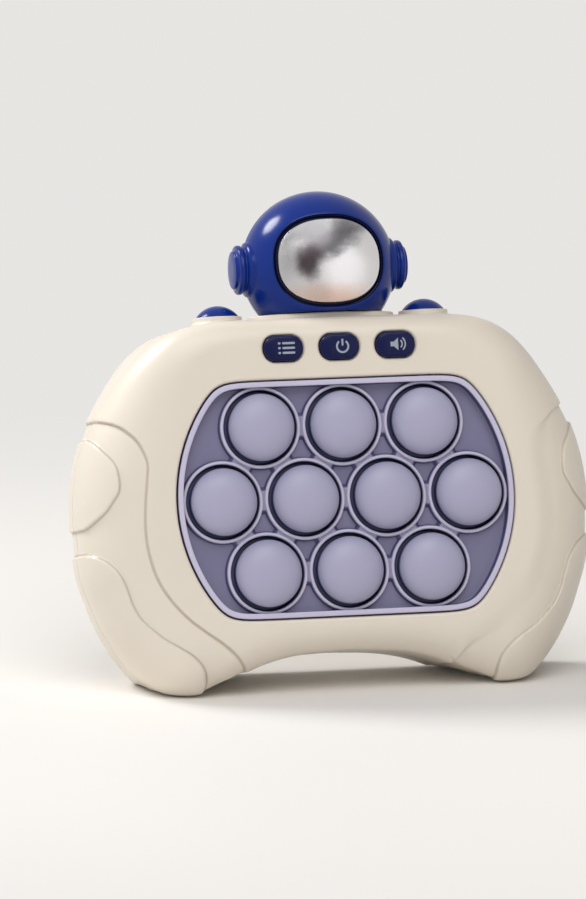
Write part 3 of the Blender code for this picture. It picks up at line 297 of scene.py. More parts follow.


# Lighter colour painted on the crests of the rim and rings: painted light
paleLavender = (0.53, 0.50, 0.64)
helmetBlue = (0.003, 0.022, 0.19)
ivory = mouldedMaterial("ivory plastic", (0.73, 0.66, 0.56), 0.36, 0.03, 0.08, 0.05)
navy = mouldedMaterial("navy plastic", helmetBlue, 0.18, 0.08, 0.05, 0.03, specular=0.2)
# A copy of the navy for the helmet's front half, to carry the painted shade in the groove round the visor
helmetNavy = mouldedMaterial("helmet navy", helmetBlue, 0.18, 0.08, 0.05, 0.03, specular=0.2)
buttonNavy = mouldedMaterial("button navy", (0.004, 0.006, 0.052), 0.2, 0.08, 0.05, 0.03, specular=0.16)
panelPlastic = mouldedMaterial("lavender plastic", (0.17, 0.16, 0.27), 0.42, 0.04, 0.08, 0.08)
# Dark base colour of the rings and webs: painted shade on their walls; their crest is painted lighter further
# down
ringPlastic = mouldedMaterial("lavender plastic ring", (0.07, 0.07, 0.16), 0.42, 0.04, 0.08, 0.08)
# Dark base colour of the domes' feet: painted shade in the groove round each dome; the dome's own lavender is
# painted over its shallow part further down
silicone = mouldedMaterial("lavender silicone", (0.06, 0.065, 0.17), 0.44, 0.05, 0.08, 0.1, 2200.0)
mirror = mouldedMaterial("visor mirror", (0.70, 0.685, 0.70), 0.27, 0.04, 0.1, 0.03, 1500.0, 1.0)
iconGrey = mouldedMaterial("icon print", (0.30, 0.335, 0.39), 0.5, 0.05, 0.05, 0.05)
boardGreen = mouldedMaterial("solder mask", (0.02, 0.16, 0.06), 0.4, 0.2, 0.1, 0.1, 900.0)
blackPlastic = mouldedMaterial("black plastic", (0.02, 0.02, 0.02), 0.5, 0.1, 0.1, 0.1)
rubberGrey = mouldedMaterial("contact rubber", (0.2, 0.2, 0.22), 0.65, 0.1, 0.1, 0.2)
steel = mouldedMaterial("plated steel", (0.62, 0.62, 0.64), 0.28, 0.08, 0.12, 0.1, 900.0, 1.0)
paper = mouldedMaterial("pressed paper", (0.05, 0.045, 0.04), 0.85, 0.3, 0.1, 0.5, 1200.0)
jacket = mouldedMaterial("cell jacket", (0.04, 0.16, 0.06), 0.3, 0.06, 0.05, 0.02)
# Painted light and shade on the rim: its wall, from 0.6 to 2.2 mm deep, painted dark as shade and fading out
# by 2.9 mm; its crest, above -0.1 mm, painted lighter
paint(panelPlastic, depthShadeMask(2.2 * mm, 2.9 * mm), (0.06, 0.06, 0.14))
paint(panelPlastic, depthShadeMask(-0.1 * mm, 0.6 * mm), paleLavender)
# Painted light and shade on the rings and webs: pale lavender where shallower than 1.5 mm, fading by 2.2 mm
# into the dark base colour as painted shade
paint(ringPlastic, depthShadeMask(1.5 * mm, 2.2 * mm), paleLavender)
# Painted shade on the domes: the silicone's lavender where shallower than -0.6 mm, fading by 1.0 mm deep into
# the dark base colour at the foot, in the groove
paint(silicone, depthShadeMask(-0.6 * mm, 1.0 * mm), (0.365, 0.355, 0.49))

visor = inMetres(up=66.9, half=(14.65, 11.9), crown=3.2, sunk=0.45, rim=0.3, groove=1.2,
                 grooveRings=((-0.4, 1.4), (0.9, 1.35), (1.05, 1.2), (1.1, 0.7), (1.15, 0.42), (1.27, 0.2),
                              (1.45, 0.06), (1.75, 0.0)),
                 edgeRings=((0.0, 2.2), (0.0, 0.35), (0.06, 0.15), (0.2, 0.03))) | {
    "power": 2.35, "grooveFade": (1.0, 1.04), "warp": 0.5, "waves": (2.2, 4.0), "patchFade": (0.1, 1.15),
    "patchDeep": 10.0
}
# Painted reflection on the visor mirror: patches mixed into its base colour stand in for the room's
# reflection, and darker ones tone down the lamps' highlights
visorReflectionPaint = (
    # Colour, centre across and up, radii, turn in degrees, strength
    ((0.60, 0.42, 0.33), (-0.1, -1.0), (1.5, 0.62), 0.0, 0.85),
    ((0.46, 0.46, 0.47), (-0.95, 0.3), (0.65, 1.3), 0.0, 0.9),
    ((0.24, 0.24, 0.25), (-0.3, 0.9), (1.3, 0.8), 0.0, 0.92),
    ((0.13, 0.13, 0.135), (-0.3, 0.75), (0.75, 0.5), 0.0, 0.85),
    ((0.11, 0.105, 0.12), (0.02, 0.48), (1.15, 0.4), 32.0, 0.92),
    ((0.13, 0.125, 0.135), (-0.12, 0.3), (0.6, 0.42), 35.0, 0.9),
    ((0.065, 0.05, 0.058), (-0.45, -0.02), (0.38, 0.62), 8.0, 0.95),
)


def placed(tree, place, location, rotation, scale):
    return addNode(tree, "Mapping", {"Vector": place, "Location": location, "Rotation": rotation,
                                               "Scale": scale}, vector_type="TEXTURE").outputs[0]


def visorPlane(tree, grow=0.0):
    # Places in the visor's upright plane, in shares of its half width and half height
    wide, high = [size + grow for size in visor["half"]]
    middle = toWorld((0.0, 0.0, visor["up"])).tolist()
    return placed(tree, objectPlace(tree), middle, (-lean, 0.0, 0.0), (wide, 1.0, high))


def reflectionPatchMask(centre, radii, turn, strength):
    # Mask = strength * (1 - smooth step of the distance from the patch's middle, warped by slow noise), for
    # one patch of painted reflection
    def mask(tree):
        plane = visorPlane(tree)
        warp = visor["warp"]
        waves = noiseAt(tree, plane, *visor["waves"]).outputs["Color"]
        warped = addNode(tree, "VectorMath", {0: waves, 1: (warp, 0.0, warp), 2: plane},
                         operation="MULTIPLY_ADD").outputs[0]
        middle = [share + warp / 2.0 for share in centre]
        patch = placed(tree, warped, (middle[0], 0.0, middle[1]), (0.0, math.radians(-turn), 0.0),
                       (radii[0], visor["patchDeep"], radii[1]))
        away = vectorMaths(tree, "LENGTH", patch, (0.0, 0.0, 0.0), "Value")
        return stepped(tree, away, *visor["patchFade"], strength, 0.0, "SMOOTHERSTEP")
    return mask


def visorGrooveShadeMask(tree):
    # Mask = 1 in the groove round the visor, where |x / a|^n + |z / b|^n is under 1, and 0 from 1.04 on: it
    # places the painted shade in that groove
    parts = addNode(tree, "SeparateXYZ", {0: visorPlane(tree, visor["groove"])}).outputs
    x, z = [maths(tree, "POWER", maths(tree, "ABSOLUTE", parts[axis]), visor["power"]) for axis in "XZ"]
    return stepped(tree, maths(tree, "ADD", x, z), *visor["grooveFade"], 1.0, 0.0)


# Painted reflection: each patch mixes its colour into the mirror's base colour
for tint, centre, radii, turn, strength in visorReflectionPaint:
    paint(mirror, reflectionPatchMask(centre, radii, turn, strength), tint)
# Painted shade: a near-black navy in the groove round the visor
paint(helmetNavy, visorGrooveShadeMask, (0.001, 0.003, 0.028))

# Case outline, crown to arch: across and up in mm, and how far in the edge is rounded
outlinePoints = np.array((
    (0.0, 51.0, 6.6), (22.0, 51.0, 6.6), (38.0, 50.6, 7.5), (48.2, 47.6, 9.9), (56.0, 41.6, 13.2),
    (62.7, 33.3, 17.6), (67.7, 25.6, 20.2), (70.6, 19.6, 22.0), (72.9, 12.1, 22.0), (74.2, 4.0, 22.0),
    (74.5, -3.8, 22.0), (74.3, -10.2, 22.0), (73.6, -18.1, 22.0), (72.2, -23.1, 21.6),
    (70.2, -28.7, 20.9), (67.8, -34.3, 19.8), (64.5, -40.0, 18.7), (61.6, -44.1, 17.6),
    (58.4, -47.8, 16.5), (55.0, -51.0, 15.0), (51.4, -53.1, 13.6), (46.0, -53.9, 12.1),
    (41.8, -53.1, 11.0), (38.0, -51.3, 10.3), (32.7, -49.4, 9.7), (29.0, -47.4, 9.2),
    (23.5, -45.4, 8.8), (17.0, -43.8, 8.4), (9.0, -43.0, 7.9), (0.0, -42.7, 7.9),
)) * mm
gripPoints = np.array((
    (67.1, 24.5), (63.6, 23.0), (61.0, 20.8), (58.7, 18.2), (57.0, 14.7), (56.1, 11.2), (56.5, 7.2),
    (57.1, 2.4), (57.5, -1.8), (57.7, -6.6), (57.3, -12.0), (56.2, -17.2), (54.7, -21.4),
    (52.5, -25.3), (49.6, -29.1), (46.2, -32.6), (42.2, -35.8), (38.1, -38.8), (34.6, -41.7),
    (32.0, -44.6), (30.0, -47.4),
)) * mm
thumbPoints = np.array((
    (70.6, 20.0), (69.5, 18.5), (67.5, 15.5), (65.2, 12.0), (64.4, 8.0), (64.6, 4.5), (66.0, 2.0),
    (68.0, -1.0), (70.5, -3.5), (72.8, -5.5), (75.3, -6.0),
)) * mm
palmPoints = np.array((
    (75.1, -12.8), (72.5, -13.0), (70.0, -14.2), (67.6, -16.0), (65.2, -19.2), (63.7, -22.7),
    (62.0, -28.0), (59.8, -32.0), (56.5, -35.4), (53.5, -38.0), (49.5, -40.5), (46.0, -43.0),
    (43.4, -46.0), (42.3, -49.5), (42.3, -52.6),
)) * mm
# The case's sizes include the half width of the painted shade line at the foot of each relief step
case = inMetres(frontDepth=20.0, rearDepth=21.0, band=1.0, wall=2.2, gap=0.15, relief=0.8, riser=0.6,
                footDrop=53.9, footFront=8.0, openingHeight=33.55, sideRadius=48.05, sideOffset=0.8,
                openingBevel=0.9, dip=0.7, fade=6.0, fadeHigh=22.0, fadeLow=-46.0, fadeEnd=8.0, seam=0.6,
                linePush=3.0, lip=0.25, lipIn=0.22, faceDepth=6.0, gripEdge=3.0, gripLeast=1.5,
                lineSteps=(0.4, 0.2, -0.4, -0.6), footSoft=0.35) | {
    "rearReach": 0.85, "roll": 0.91, "cornerPower": 26, "gripRest": 0.65, "gripBlend": 0.25, "closer": 1.1
}
# Far way read where a piece has no painted step shade
seamFar = 1.0
slope = math.tan(lean)


def splined(points, steps):
    # A Catmull-Rom curve through the points.
    padded = np.vstack((2.0 * points[0] - points[1], points, 2.0 * points[-1] - points[-2]))
    share = np.linspace(0.0, 1.0, steps, endpoint=False)[:, None]
    pieces = []
    for a, b, c, d in zip(padded, padded[1:], padded[2:], padded[3:]):
        pieces.append(0.5 * (2.0 * b + (c - a) * share + (2.0 * a - 5.0 * b + 4.0 * c - d) * share**2
                             + (3.0 * b - a - 3.0 * c + d) * share**3))
    return np.vstack(pieces + [points[-1:]])


def softened(points, rounds):
    # Evens out small waves of a curve, its ends held.
    for _ in range(rounds):
        points = points.copy()
        points[1:-1] = 0.25 * points[:-2] + 0.5 * points[1:-1] + 0.25 * points[2:]
    return points


def polar(points):
    turn = np.arctan2(points[:, 1], points[:, 0])
    order = np.argsort(turn)
    return turn[order], np.hypot(points[:, 0], points[:, 1])[order], order


def wayTo(points, line):
    # Shortest way from each point to an open line.
    start = line[:-1]
    step = line[1:] - start
    square = np.maximum((step**2).sum(1), 1e-14)
    best = np.full(len(points), 1.0)
    for first in range(0, len(points), 3000):
        offset = points[first:first + 3000, None, :] - start[None]
        share = np.clip((offset * step).sum(2) / square, 0.0, 1.0)
        best[first:first + 3000] = np.sqrt(
            ((offset - share[..., None] * step)**2).sum(2).min(1))
    return best


def signedWay(points, line):
    # Way to a line that runs round one side of the case: positive outside it, within its ends.
    folded = np.stack((np.abs(points[:, 0]), points[:, 1]), 1)
    turn, radius, _ = polar(line)
    angle = np.arctan2(folded[:, 1], folded[:, 0])
    outside = np.hypot(folded[:, 0], folded[:, 1]) > np.interp(angle, turn, radius)
    outside &= (angle > turn[0]) & (angle < turn[-1])
    way = wayTo(folded, line)
    return np.where(outside, way, -way)


outlineFine = softened(splined(outlinePoints, 10), 30)
gripLine = splined(gripPoints, 6)


def pushedOut(points):
    # A curve through the points that runs on past the outline at both ends.
    line = splined(points, 6)
    first = line[0] + (line[0] - line[1]) / np.linalg.norm(line[0] - line[1]) * case["linePush"]
    last = line[-1] + (line[-1] - line[-2]) / np.linalg.norm(line[-1] - line[-2]) * case["linePush"]
    return np.vstack((first, line, last))


gripEdge, thumbEdge, palmEdge = [pushedOut(line) for line in (gripPoints, thumbPoints, palmPoints)]


def openingRadius(angles, inset):
    arc = case["sideRadius"] - inset
    across = np.abs(np.cos(angles)) * case["sideOffset"]
    side = across + np.sqrt(arc**2 - case["sideOffset"]**2 + across**2)
    flat = (case["openingHeight"] - inset) / np.maximum(np.abs(np.sin(angles)), 1e-6)
    near = np.minimum(side, flat)
    far = np.maximum(side, flat)
    power = case["cornerPower"]
    return near * (1.0 + (near / far)**power)**(-1.0 / power)


class Rays:
    # Directions round the case, with the outline, its inward normal and rounding in each.

    def __init__(self, count):
        self.turn = betweenSteps(count) - quarter
        self.fold = np.where(self.turn > quarter, math.pi - self.turn, self.turn)
        turn, radius, order = polar(outlineFine)
        self.radius = np.interp(self.fold, turn, radius)
        self.reach = np.interp(self.fold, turn, outlineFine[order, 2])
        self.ray = unit(self.turn)
        outline = self.radius[:, None] * self.ray
        ahead = np.roll(outline, -1, 0) - np.roll(outline, 1, 0)
        self.inward = np.stack((-ahead[:, 1], ahead[:, 0]), 1)
        self.inward /= np.linalg.norm(self.inward, axis=1)[:, None]
        right = outlineFine[::-1, :2]
        left = (outlineFine[:, :2] * (-1.0, 1.0))[1:]
        self.border = np.vstack((right, left))
        turnGrip, radiusGrip, _ = polar(gripLine)
        past = np.maximum(turnGrip[0] - self.fold, self.fold - turnGrip[-1])
        width = self.radius - openingRadius(self.turn, -case["openingBevel"])
        rest = self.radius - case["gripRest"] * width
        edge = self.radius - case["gripEdge"]
        blended = edge + (rest - edge) * smoothStep(past / case["gripBlend"])
        grip = np.where(past <= 0.0, np.interp(self.fold, turnGrip, radiusGrip), blended)
        self.grip = np.minimum(grip, self.radius - case["gripLeast"])


def floorAt(depth):
    return -case["footDrop"] + (depth - case["footFront"]) * slope


def caseSkin(rays, points, way, inset=0.0, sunk=None):
    # Depth = half depth less the roll, plus the roll times sqrt(1 - a^2), where a falls from 1 at the
    # outline to 0 at the reach; sunk points move in along the slope.
    depth = case["frontDepth"] if way < 0.0 else case["rearDepth"]
    reach = rays.reach * (1.0 if way < 0.0 else case["rearReach"])
    roll = np.minimum(reach * case["roll"], depth - case["band"]) - inset
    a = np.clip(1.0 - (wayTo(points, rays.border) - inset) / (reach - inset), 0.0, 1.0)
    rise = np.sqrt(1.0 - a**2)
    steep = np.stack((a / (reach - inset), rise / roll), 1)
    steep /= np.linalg.norm(steep, axis=1)[:, None]
    sunk = np.zeros(len(points)) if sunk is None else sunk
    level = depth - inset - roll + roll * rise - sunk * steep[:, 1]
    plan = points + rays.inward * (sunk * steep[:, 0])[:, None]
    return atDepth(plan, case["frontDepth"] + way * level)


def reliefOf(points, faded):
    # Relief times the grip mask, less the pad masks; each mask is a smooth step across its line.
    # On a faded side the right grip line is a wide, soft step, as in the photograph, except near its ends.
    width = np.full(len(points), case["riser"])
    if faded:
        upward = points[:, 1]
        inner = smoothStep((case["fadeHigh"] - upward) / case["fadeEnd"])
        inner = inner * smoothStep((upward - case["fadeLow"]) / case["fadeEnd"])
        width += case["fade"] * inner * (points[:, 0] > 0.0)
    mask = smoothStep(signedWay(points, gripEdge) / width + 0.5)
    for line in (thumbEdge, palmEdge):
        mask *= 1.0 - smoothStep(signedWay(points, line) / case["riser"] + 0.5)
    return case["relief"] * mask


def markStepShade(piece):
    # Attribute = ways from the foot of the grip, thumb and palm lines, each plus a far way, so that a piece
    # without the attribute reads as far; they place a painted shade line at the foot of each step.
    # The right grip line has no painted shade line: its way is kept negative.
    mesh = piece.data
    points = np.empty(3 * len(mesh.vertices))
    mesh.vertices.foreach_get("co", points)
    points = points.reshape(-1, 3)
    upward = (points[:, 1] - standY) * math.sin(lean) + (points[:, 2] - standZ) * math.cos(lean)
    plan = np.stack((points[:, 0], upward), 1)
    half = case["riser"] / 2.0
    grip = signedWay(plan, gripEdge) - half
    grip = np.where(plan[:, 0] > 0.0, -np.abs(grip) - seamFar / 10.0, grip)
    seam = np.stack((grip, signedWay(plan, thumbEdge) + half, signedWay(plan, palmEdge) + half), 1) + seamFar
    mesh.attributes.new("seam", "FLOAT_VECTOR", "POINT").data.foreach_set("vector", seam.ravel())


def floored(ring, inset=0.0):
    # Flattens the feet on the floor with a soft corner: floor + s * ln(1 + e^(height / s)).
    floor = floorAt(ring[:, 1]) + inset
    soft = case["footSoft"]
    ring[:, 2] = floor + soft * np.logaddexp(0.0, (ring[:, 2] - floor) / soft)
    return ring


def caseRings(rays, way, innermost, outerCount, innerCount):
    # Rings from the parting line over the rounded edge and in to the innermost ring, closer at the grip line.
    rings = []
    shares = 1.0 - np.cos(np.linspace(0.0, 1.0, outerCount) * quarter)
    before, high, low, after = [rays.grip + step for step in case["lineSteps"]]
    for start, end, along in ((rays.radius, before, shares), (high, low, np.linspace(0.0, 1.0, 4)),
                              (after, innermost, np.linspace(0.0, 1.0, innerCount)**case["closer"])):
        for share in along:
            points = (start + (end - start) * share)[:, None] * rays.ray
            rings.append(caseSkin(rays, points, way, 0.0, reliefOf(points, way < 0.0)))
    parting = rings[0].copy()
    parting[:, 1] = case["frontDepth"] + way * (case["gap"] + case["lip"])
    lip = rings[0].copy()
    lip[:, [0, 2]] += rays.inward * case["lipIn"]
    lip[:, 1] = case["frontDepth"] + way * case["gap"]
    return [floored(ring) for ring in [lip, parting] + rings]


def wallRings(rays, target, way, shares):
    start = rays.radius[:, None] * rays.ray + rays.inward * case["wall"]
    rings = [caseSkin(rays, start + (target - start) * share, way, case["wall"]) for share in shares]
    last = rings[-1].copy()
    last[:, 1] = case["frontDepth"] + way * case["gap"]
    return [floored(ring, case["wall"]) for ring in rings + [last]]


buttonPlaces = {"mode_button": -16.2 * mm, "power_button": 0.0, "volume_button": 16.2 * mm}
button = inMetres(up=42.3, half=(5.65, 3.6), corner=3.4, gap=0.2, proud=1.2, edge=0.9, foot=3.5, crown=0.25,
                  tip=0.05)


def roundedOutline(centre, half, corner, grow, perCorner=14, perSide=4):
    # A rounded rectangle in the face plane, its corner arcs and sides evenly cut.
    wide, high = half[0] + grow, half[1] + grow
    arc = max(corner + grow, 0.05 * mm)
    arc = min(arc, wide - 0.001 * mm, high - 0.001 * mm)

    def onArc(turn, step):
        middle = quarter * (turn + 0.5)
        angle = quarter * (turn + step)
        return np.array((math.copysign(wide - arc, math.cos(middle)) + arc * math.cos(angle),
                         math.copysign(high - arc, math.sin(middle)) + arc * math.sin(angle)))

    points = []
    for turn in range(4):
        points += [onArc(turn, step) for step in np.linspace(0.0, 1.0, perCorner)]
        here, there = points[-1], onArc(turn + 1, 0.0)
        points += [here + (there - here) * step / perSide for step in range(1, perSide)]
    return np.array(points) + centre


def rectangleWay(points, centre, half, corner):
    # Signed way to a rounded rectangle, positive outside.
    offset = np.abs(points - centre) - np.array(half) + corner
    outside = np.linalg.norm(np.maximum(offset, 0.0), axis=1)
    return outside + np.minimum(offset.max(1), 0.0) - corner


def buttonDip(grid):
    # Rounds the case into each button's hole: depth = r - sqrt(r^2 - (r - way)^2) near its edge.
    points = grid.reshape(-1, 3)
    dip = np.zeros(len(points))
    radius = case["dip"]
    half = [size + button["gap"] for size in button["half"]]
    for across in buttonPlaces.values():
        way = rectangleWay(points[:, [0, 2]], (across, button["up"]), half, button["corner"] + button["gap"])
        near = np.clip(radius - way, 0.0, radius)
        dip = np.maximum(dip, radius - np.sqrt(radius**2 - near**2))
    points[:, 1] += np.where(points[:, 1] < case["faceDepth"], dip, 0.0)


def shapesObject(name, shapes):
    # One object of closed shapes, each one a stack of rings.
    points, faces = [], []
    for rings in shapes:
        start = sum(len(ring) for ring in points)
        faces += gridFaces(len(rings), len(rings[0]), caps=("first", "last"), start=start)
        points += rings
    return drawnObject(name, np.vstack(points), faces)


def booleanWith(piece, shapes, operation):
    # Cuts or joins closed shapes, and keeps the result in the piece's own mesh.
    other = shapesObject(piece.name + "Tool", shapes)
    change = piece.modifiers.new("change", "BOOLEAN")
    change.operation = operation
    change.object = other
    bpy.context.view_layer.update()
    graph = bpy.context.evaluated_depsgraph_get()
    fresh = bpy.data.meshes.new_from_object(piece.evaluated_get(graph))
    piece.modifiers.clear()
    old = piece.data
    piece.data = fresh
    bpy.data.meshes.remove(old)
    bpy.data.objects.remove(other, do_unlink=True)
    while len(fresh.materials) > 1:
        fresh.materials.pop(index=len(fresh.materials) - 1)
    fresh.polygons.foreach_set("material_index", np.zeros(len(fresh.polygons), np.int32))
    fresh.shade_smooth()
    fresh.set_sharp_from_angle(angle=sharpAngle)


def prism(outline, start, end):
    return [atDepth(outline, depth) for depth in (start, end)]


def boxShape(low, high):
    outline = np.array(((low[0], low[2]), (high[0], low[2]), (high[0], high[2]), (low[0], high[2])))
    return prism(outline, low[1], high[1])


def rodShape(across, upward, start, end, radius, steps=40):
    return prism(unit(fullTurn(steps)) * radius + (across, upward), start, end)


front = inMetres(cut=(-2.0, 4.0)) | {
    "rays": 900, "rings": (62, 18), "bevelRings": 6, "wallShares": (0.6, 0.25, 0.0)
}


def makeFrontShell():
    rays = Rays(front["rays"])
    bevel = case["openingBevel"]
    rings = caseRings(rays, -1.0, openingRadius(rays.turn, -bevel), *front["rings"])
    for share in np.linspace(0.0, 1.0, front["bevelRings"])[1:]:
        angle = share * quarter
        plan = openingRadius(rays.turn, bevel * math.sin(angle) - bevel)[:, None] * rays.ray
        rings.append(atDepth(plan, bevel * (1.0 - math.cos(angle))))
    edge = openingRadius(rays.turn, 0.0)[:, None] * rays.ray
    rings.append(atDepth(edge, case["wall"]))
    grid = np.array(rings + wallRings(rays, edge, -1.0, front["wallShares"]))
    buttonDip(grid)
    shell = gridPiece("caseFront", grid, ivory, "case", ("front_shell",), wrapRows=True)
    booleanWith(shell, [prism(roundedOutline((across, button["up"]), button["half"], button["corner"],
                                             button["gap"]), *front["cut"])
                        for across in buttonPlaces.values()], "DIFFERENCE")
    # Places the painted shade line at the foot of the relief steps
    markStepShade(shell)


# Painted shade: a darker ivory line at the foot of the grip, thumb and palm steps, where shade falls; none on
# the right grip line
paint(ivory, seamMask(0.6), (0.33, 0.27, 0.20))
makeFrontShell()
print("front shell made")


# Panel: floor, rim, rings and the webs between them

pitch = 23.6 * mm
bubblePlaces = [((place - (count - 1) / 2.0) * pitch, (1 - row) * pitch * math.sqrt(3.0) / 2.0)
                for row, count in enumerate((3, 4, 3)) for place in range(count)]
panel = inMetres(gap=0.4, rim=1.7, rimTop=-0.25, floor=3.1, back=4.3, flange=2.5, seat=2.5, flat=5.5,
                 hole=(-3.0, 6.0, 11.0)) | {"slope": 0.88, "around": 720, "shares": (0.75, 0.5, 0.25, 0.05)}
ring = inMetres(crest=11.0, inner=10.5, outer=11.85, top=1.25, wall=0.75)
web = inMetres(radius=11.3, reach=4.4, down=0.36, hollow=0.3) | {
    "near": 1.1 * pitch, "level": 0.55, "fall": 0.45
}


def makePanel():
    turn = betweenSteps(panel["around"])
    ray = unit(turn)
    back, flange, seat, floor = panel["back"], -panel["flange"], panel["seat"], panel["floor"]
    gap, rim, rimTop, flat = panel["gap"], panel["rim"], panel["rimTop"], panel["flat"]
    profile = filleted((
        (flange, back, 0), (flange, seat, 0.2 * mm), (gap, seat, 0.1 * mm), (gap, rimTop, 0.45 * mm),
        (gap + rim * panel["slope"], rimTop, 0.3 * mm), (gap + rim, floor, 0.35 * mm), (flat, floor, 0)), 6)
    rings = [atDepth(openingRadius(turn, inset)[:, None] * ray, depth) for inset, depth in profile]
    rings += [atDepth(openingRadius(turn, flat)[:, None] * ray * share, floor)
              for share in panel["shares"]]
    plate = gridPiece("panelPlate", rings, panelPlastic, "case",
                      ("bubble_panel",), caps=("first", "last"))
    booleanWith(plate, [rodShape(across, upward, *panel["hole"], 96) for across, upward in bubblePlaces],
                "DIFFERENCE")
    inner, crest, top, outer = ring["inner"], ring["crest"], ring["top"], ring["outer"]
    section = filleted((
        (inner, back, 0), (inner, top + ring["wall"], 0.3 * mm), (crest - 0.35 * mm, top, 0.25 * mm),
        (crest + 0.4 * mm, top, 0.3 * mm), (outer, floor, 0.4 * mm),
        (outer + 0.3 * mm, floor + 0.4 * mm, 0)), 5)
    for number, (across, upward) in enumerate(bubblePlaces, 1):
        gridPiece(f"ring{number:02d}", turnedGrid(section, (across, 0.0, upward), "y", 128),
                  ringPlastic, "case")
    pairs = [(a, b) for i, a in enumerate(bubblePlaces) for b in bubblePlaces[i + 1:]
             if math.dist(a, b) < web["near"]]
    for number, (a, b) in enumerate(pairs, 1):
        makeWeb(number, np.array(a), np.array(b))


def makeWeb(number, a, b):
    # A bridge between two rings: half width = half the pitch - sqrt(radius^2 - offset^2), sinking at its
    # ends by a smooth step, its middle hollowed by a parabola.
    along = (b - a) / np.linalg.norm(b - a)
    side = np.array((-along[1], along[0]))
    t = np.linspace(-1.0, 1.0, 25)[:, None]
    s = np.linspace(-1.0, 1.0, 9)[None, :]
    offset = t * web["reach"]
    half = pitch / 2.0 - np.sqrt(web["radius"]**2 - offset**2)
    plan = (a + b) / 2.0 + side * offset[..., None] + along * (s * half)[..., None]
    drop = panel["floor"] - ring["top"] - web["hollow"]
    sink = smoothStep((np.abs(t) - web["level"]) / web["fall"]) * drop
    depth = ring["top"] + web["down"] + sink + web["hollow"] * (1.0 - s**2)
    grid = np.stack((plan[..., 0], depth, plan[..., 1]), -1)
    gridPiece(f"web{number:02d}", grid, ringPlastic, "case", wrapColumns=False)


bubble = inMetres(radius=9.45, rise=5.4, edge=0.6,
                  foot=((8.0, 5.8, 0), (10.2, 5.8, 0.2), (10.2, 4.3, 0.3), (8.9, 4.1, 0.4),
                        (9.3, 2.4, 0.8))) | {"power": 2.3}


def makeBubbles():
    # Dome: (r / radius)^n + (height / rise)^n = 1, steep at the foot and flatter on top
    radius, edge, power = bubble["radius"], bubble["edge"], 2.0 / bubble["power"]
    angles = np.linspace(0.0, quarter, 30)
    dome = np.stack((radius * np.cos(angles)**power, edge - bubble["rise"] * np.sin(angles)**power), 1)
    dome[-1, 0] = 0.0
    foot = filleted([*bubble["foot"], (radius, edge, 0)], 5)
    profile = np.vstack((foot[:-1], dome))
    for number, (across, upward) in enumerate(bubblePlaces, 1):
        node = f"bubble_{number:02d}"
        gridPiece(f"dome{number:02d}", turnedGrid(profile, (across, 0.0, upward), "y", 96), silicone,
                  node, (node,))


makePanel()
makeBubbles()
print("panel and bubbles made")


# Buttons and their icons

def makeButtons():
    half, corner, edge = button["half"], button["corner"], button["edge"]
    front = -button["proud"]
    rings = [(0.0, button["foot"])]
    for angle in np.linspace(0.0, quarter, 9):
        rings.append((-edge * (1.0 - math.cos(angle)), front + edge * (1.0 - math.sin(angle))))
    for share in np.linspace(0.15, 1.0, 8):
        inset = edge + (half[1] - edge - button["tip"]) * share
        rings.append((-inset, front - button["crown"] * (1.0 - (1.0 - share)**2)))
    for name, across in buttonPlaces.items():
        grid = [atDepth(roundedOutline((across, button["up"]), half, corner, grow), depth)
                for grow, depth in rings]
        gridPiece(name.replace("_b", "B"), grid, buttonNavy, name, (name,),
                  caps=("first", "last"))


icon = inMetres(front=-1.47, thickness=0.3, shift=(0.6, 0.0)) | {"row": 1.35}


def iconPiece(name, body, outline):
    # A thin print on a button: a closed outline, in mm from the button's middle.
    plan = np.array(outline) * mm + (buttonPlaces[body], button["up"]) + icon["shift"]
    rings = prism(plan, icon["front"], icon["front"] + icon["thickness"])
    gridPiece(name, rings, iconGrey, body, caps=("first", "last"))


def barOutline(start, end, half, steps=6):
    start, end = np.array(start, float), np.array(end, float)
    heading = math.atan2(*(end - start)[::-1])
    bow = half * unit(heading + quarter + np.linspace(0.0, math.pi, steps))
    return np.vstack((start + bow, end - bow))


def arcOutline(centre, radius, start, end, half, steps=24):
    arc = unit(np.radians(np.linspace(start, end, steps)))
    return np.vstack((arc * (radius + half), arc[::-1] * (radius - half))) + centre


def makeIcons():
    for row in (-1, 0, 1):
        rise = row * icon["row"]
        iconPiece(f"listBar{row + 2}", "mode_button", barOutline((-0.9, rise), (2.2, rise), 0.3))
        iconPiece(f"listDot{row + 2}", "mode_button", barOutline((-2.1, rise), (-1.95, rise), 0.32))
    iconPiece("powerArc", "power_button", arcOutline((0.0, -0.1), 1.65, -235.0, 55.0, 0.27))
    iconPiece("powerBar", "power_button", barOutline((0.0, 0.3), (0.0, 1.75), 0.27))
    iconPiece("soundBox", "volume_button",
              ((-2.3, -0.65), (-1.35, -0.65), (-0.1, -1.75), (-0.1, 1.75), (-1.35, 0.65), (-2.3, 0.65)))
    iconPiece("soundWaveIn", "volume_button", arcOutline((-0.3, 0.0), 1.35, -48.0, 48.0, 0.2, 12))
    iconPiece("soundWaveOut", "volume_button", arcOutline((-0.3, 0.0), 2.25, -48.0, 48.0, 0.2, 14))


shoulder = inMetres(across=30.0, top=52.8, rise=3.3, radius=6.15, foot=46.5, ease=0.3,
                    collar=((7.9, 46.0, 0), (7.6, 50.8, 0.5), (7.0, 51.4, 0.5), (6.95, 52.8, 0.4),
                            (6.45, 52.8, 0.2), (6.4, 46.0, 0)))


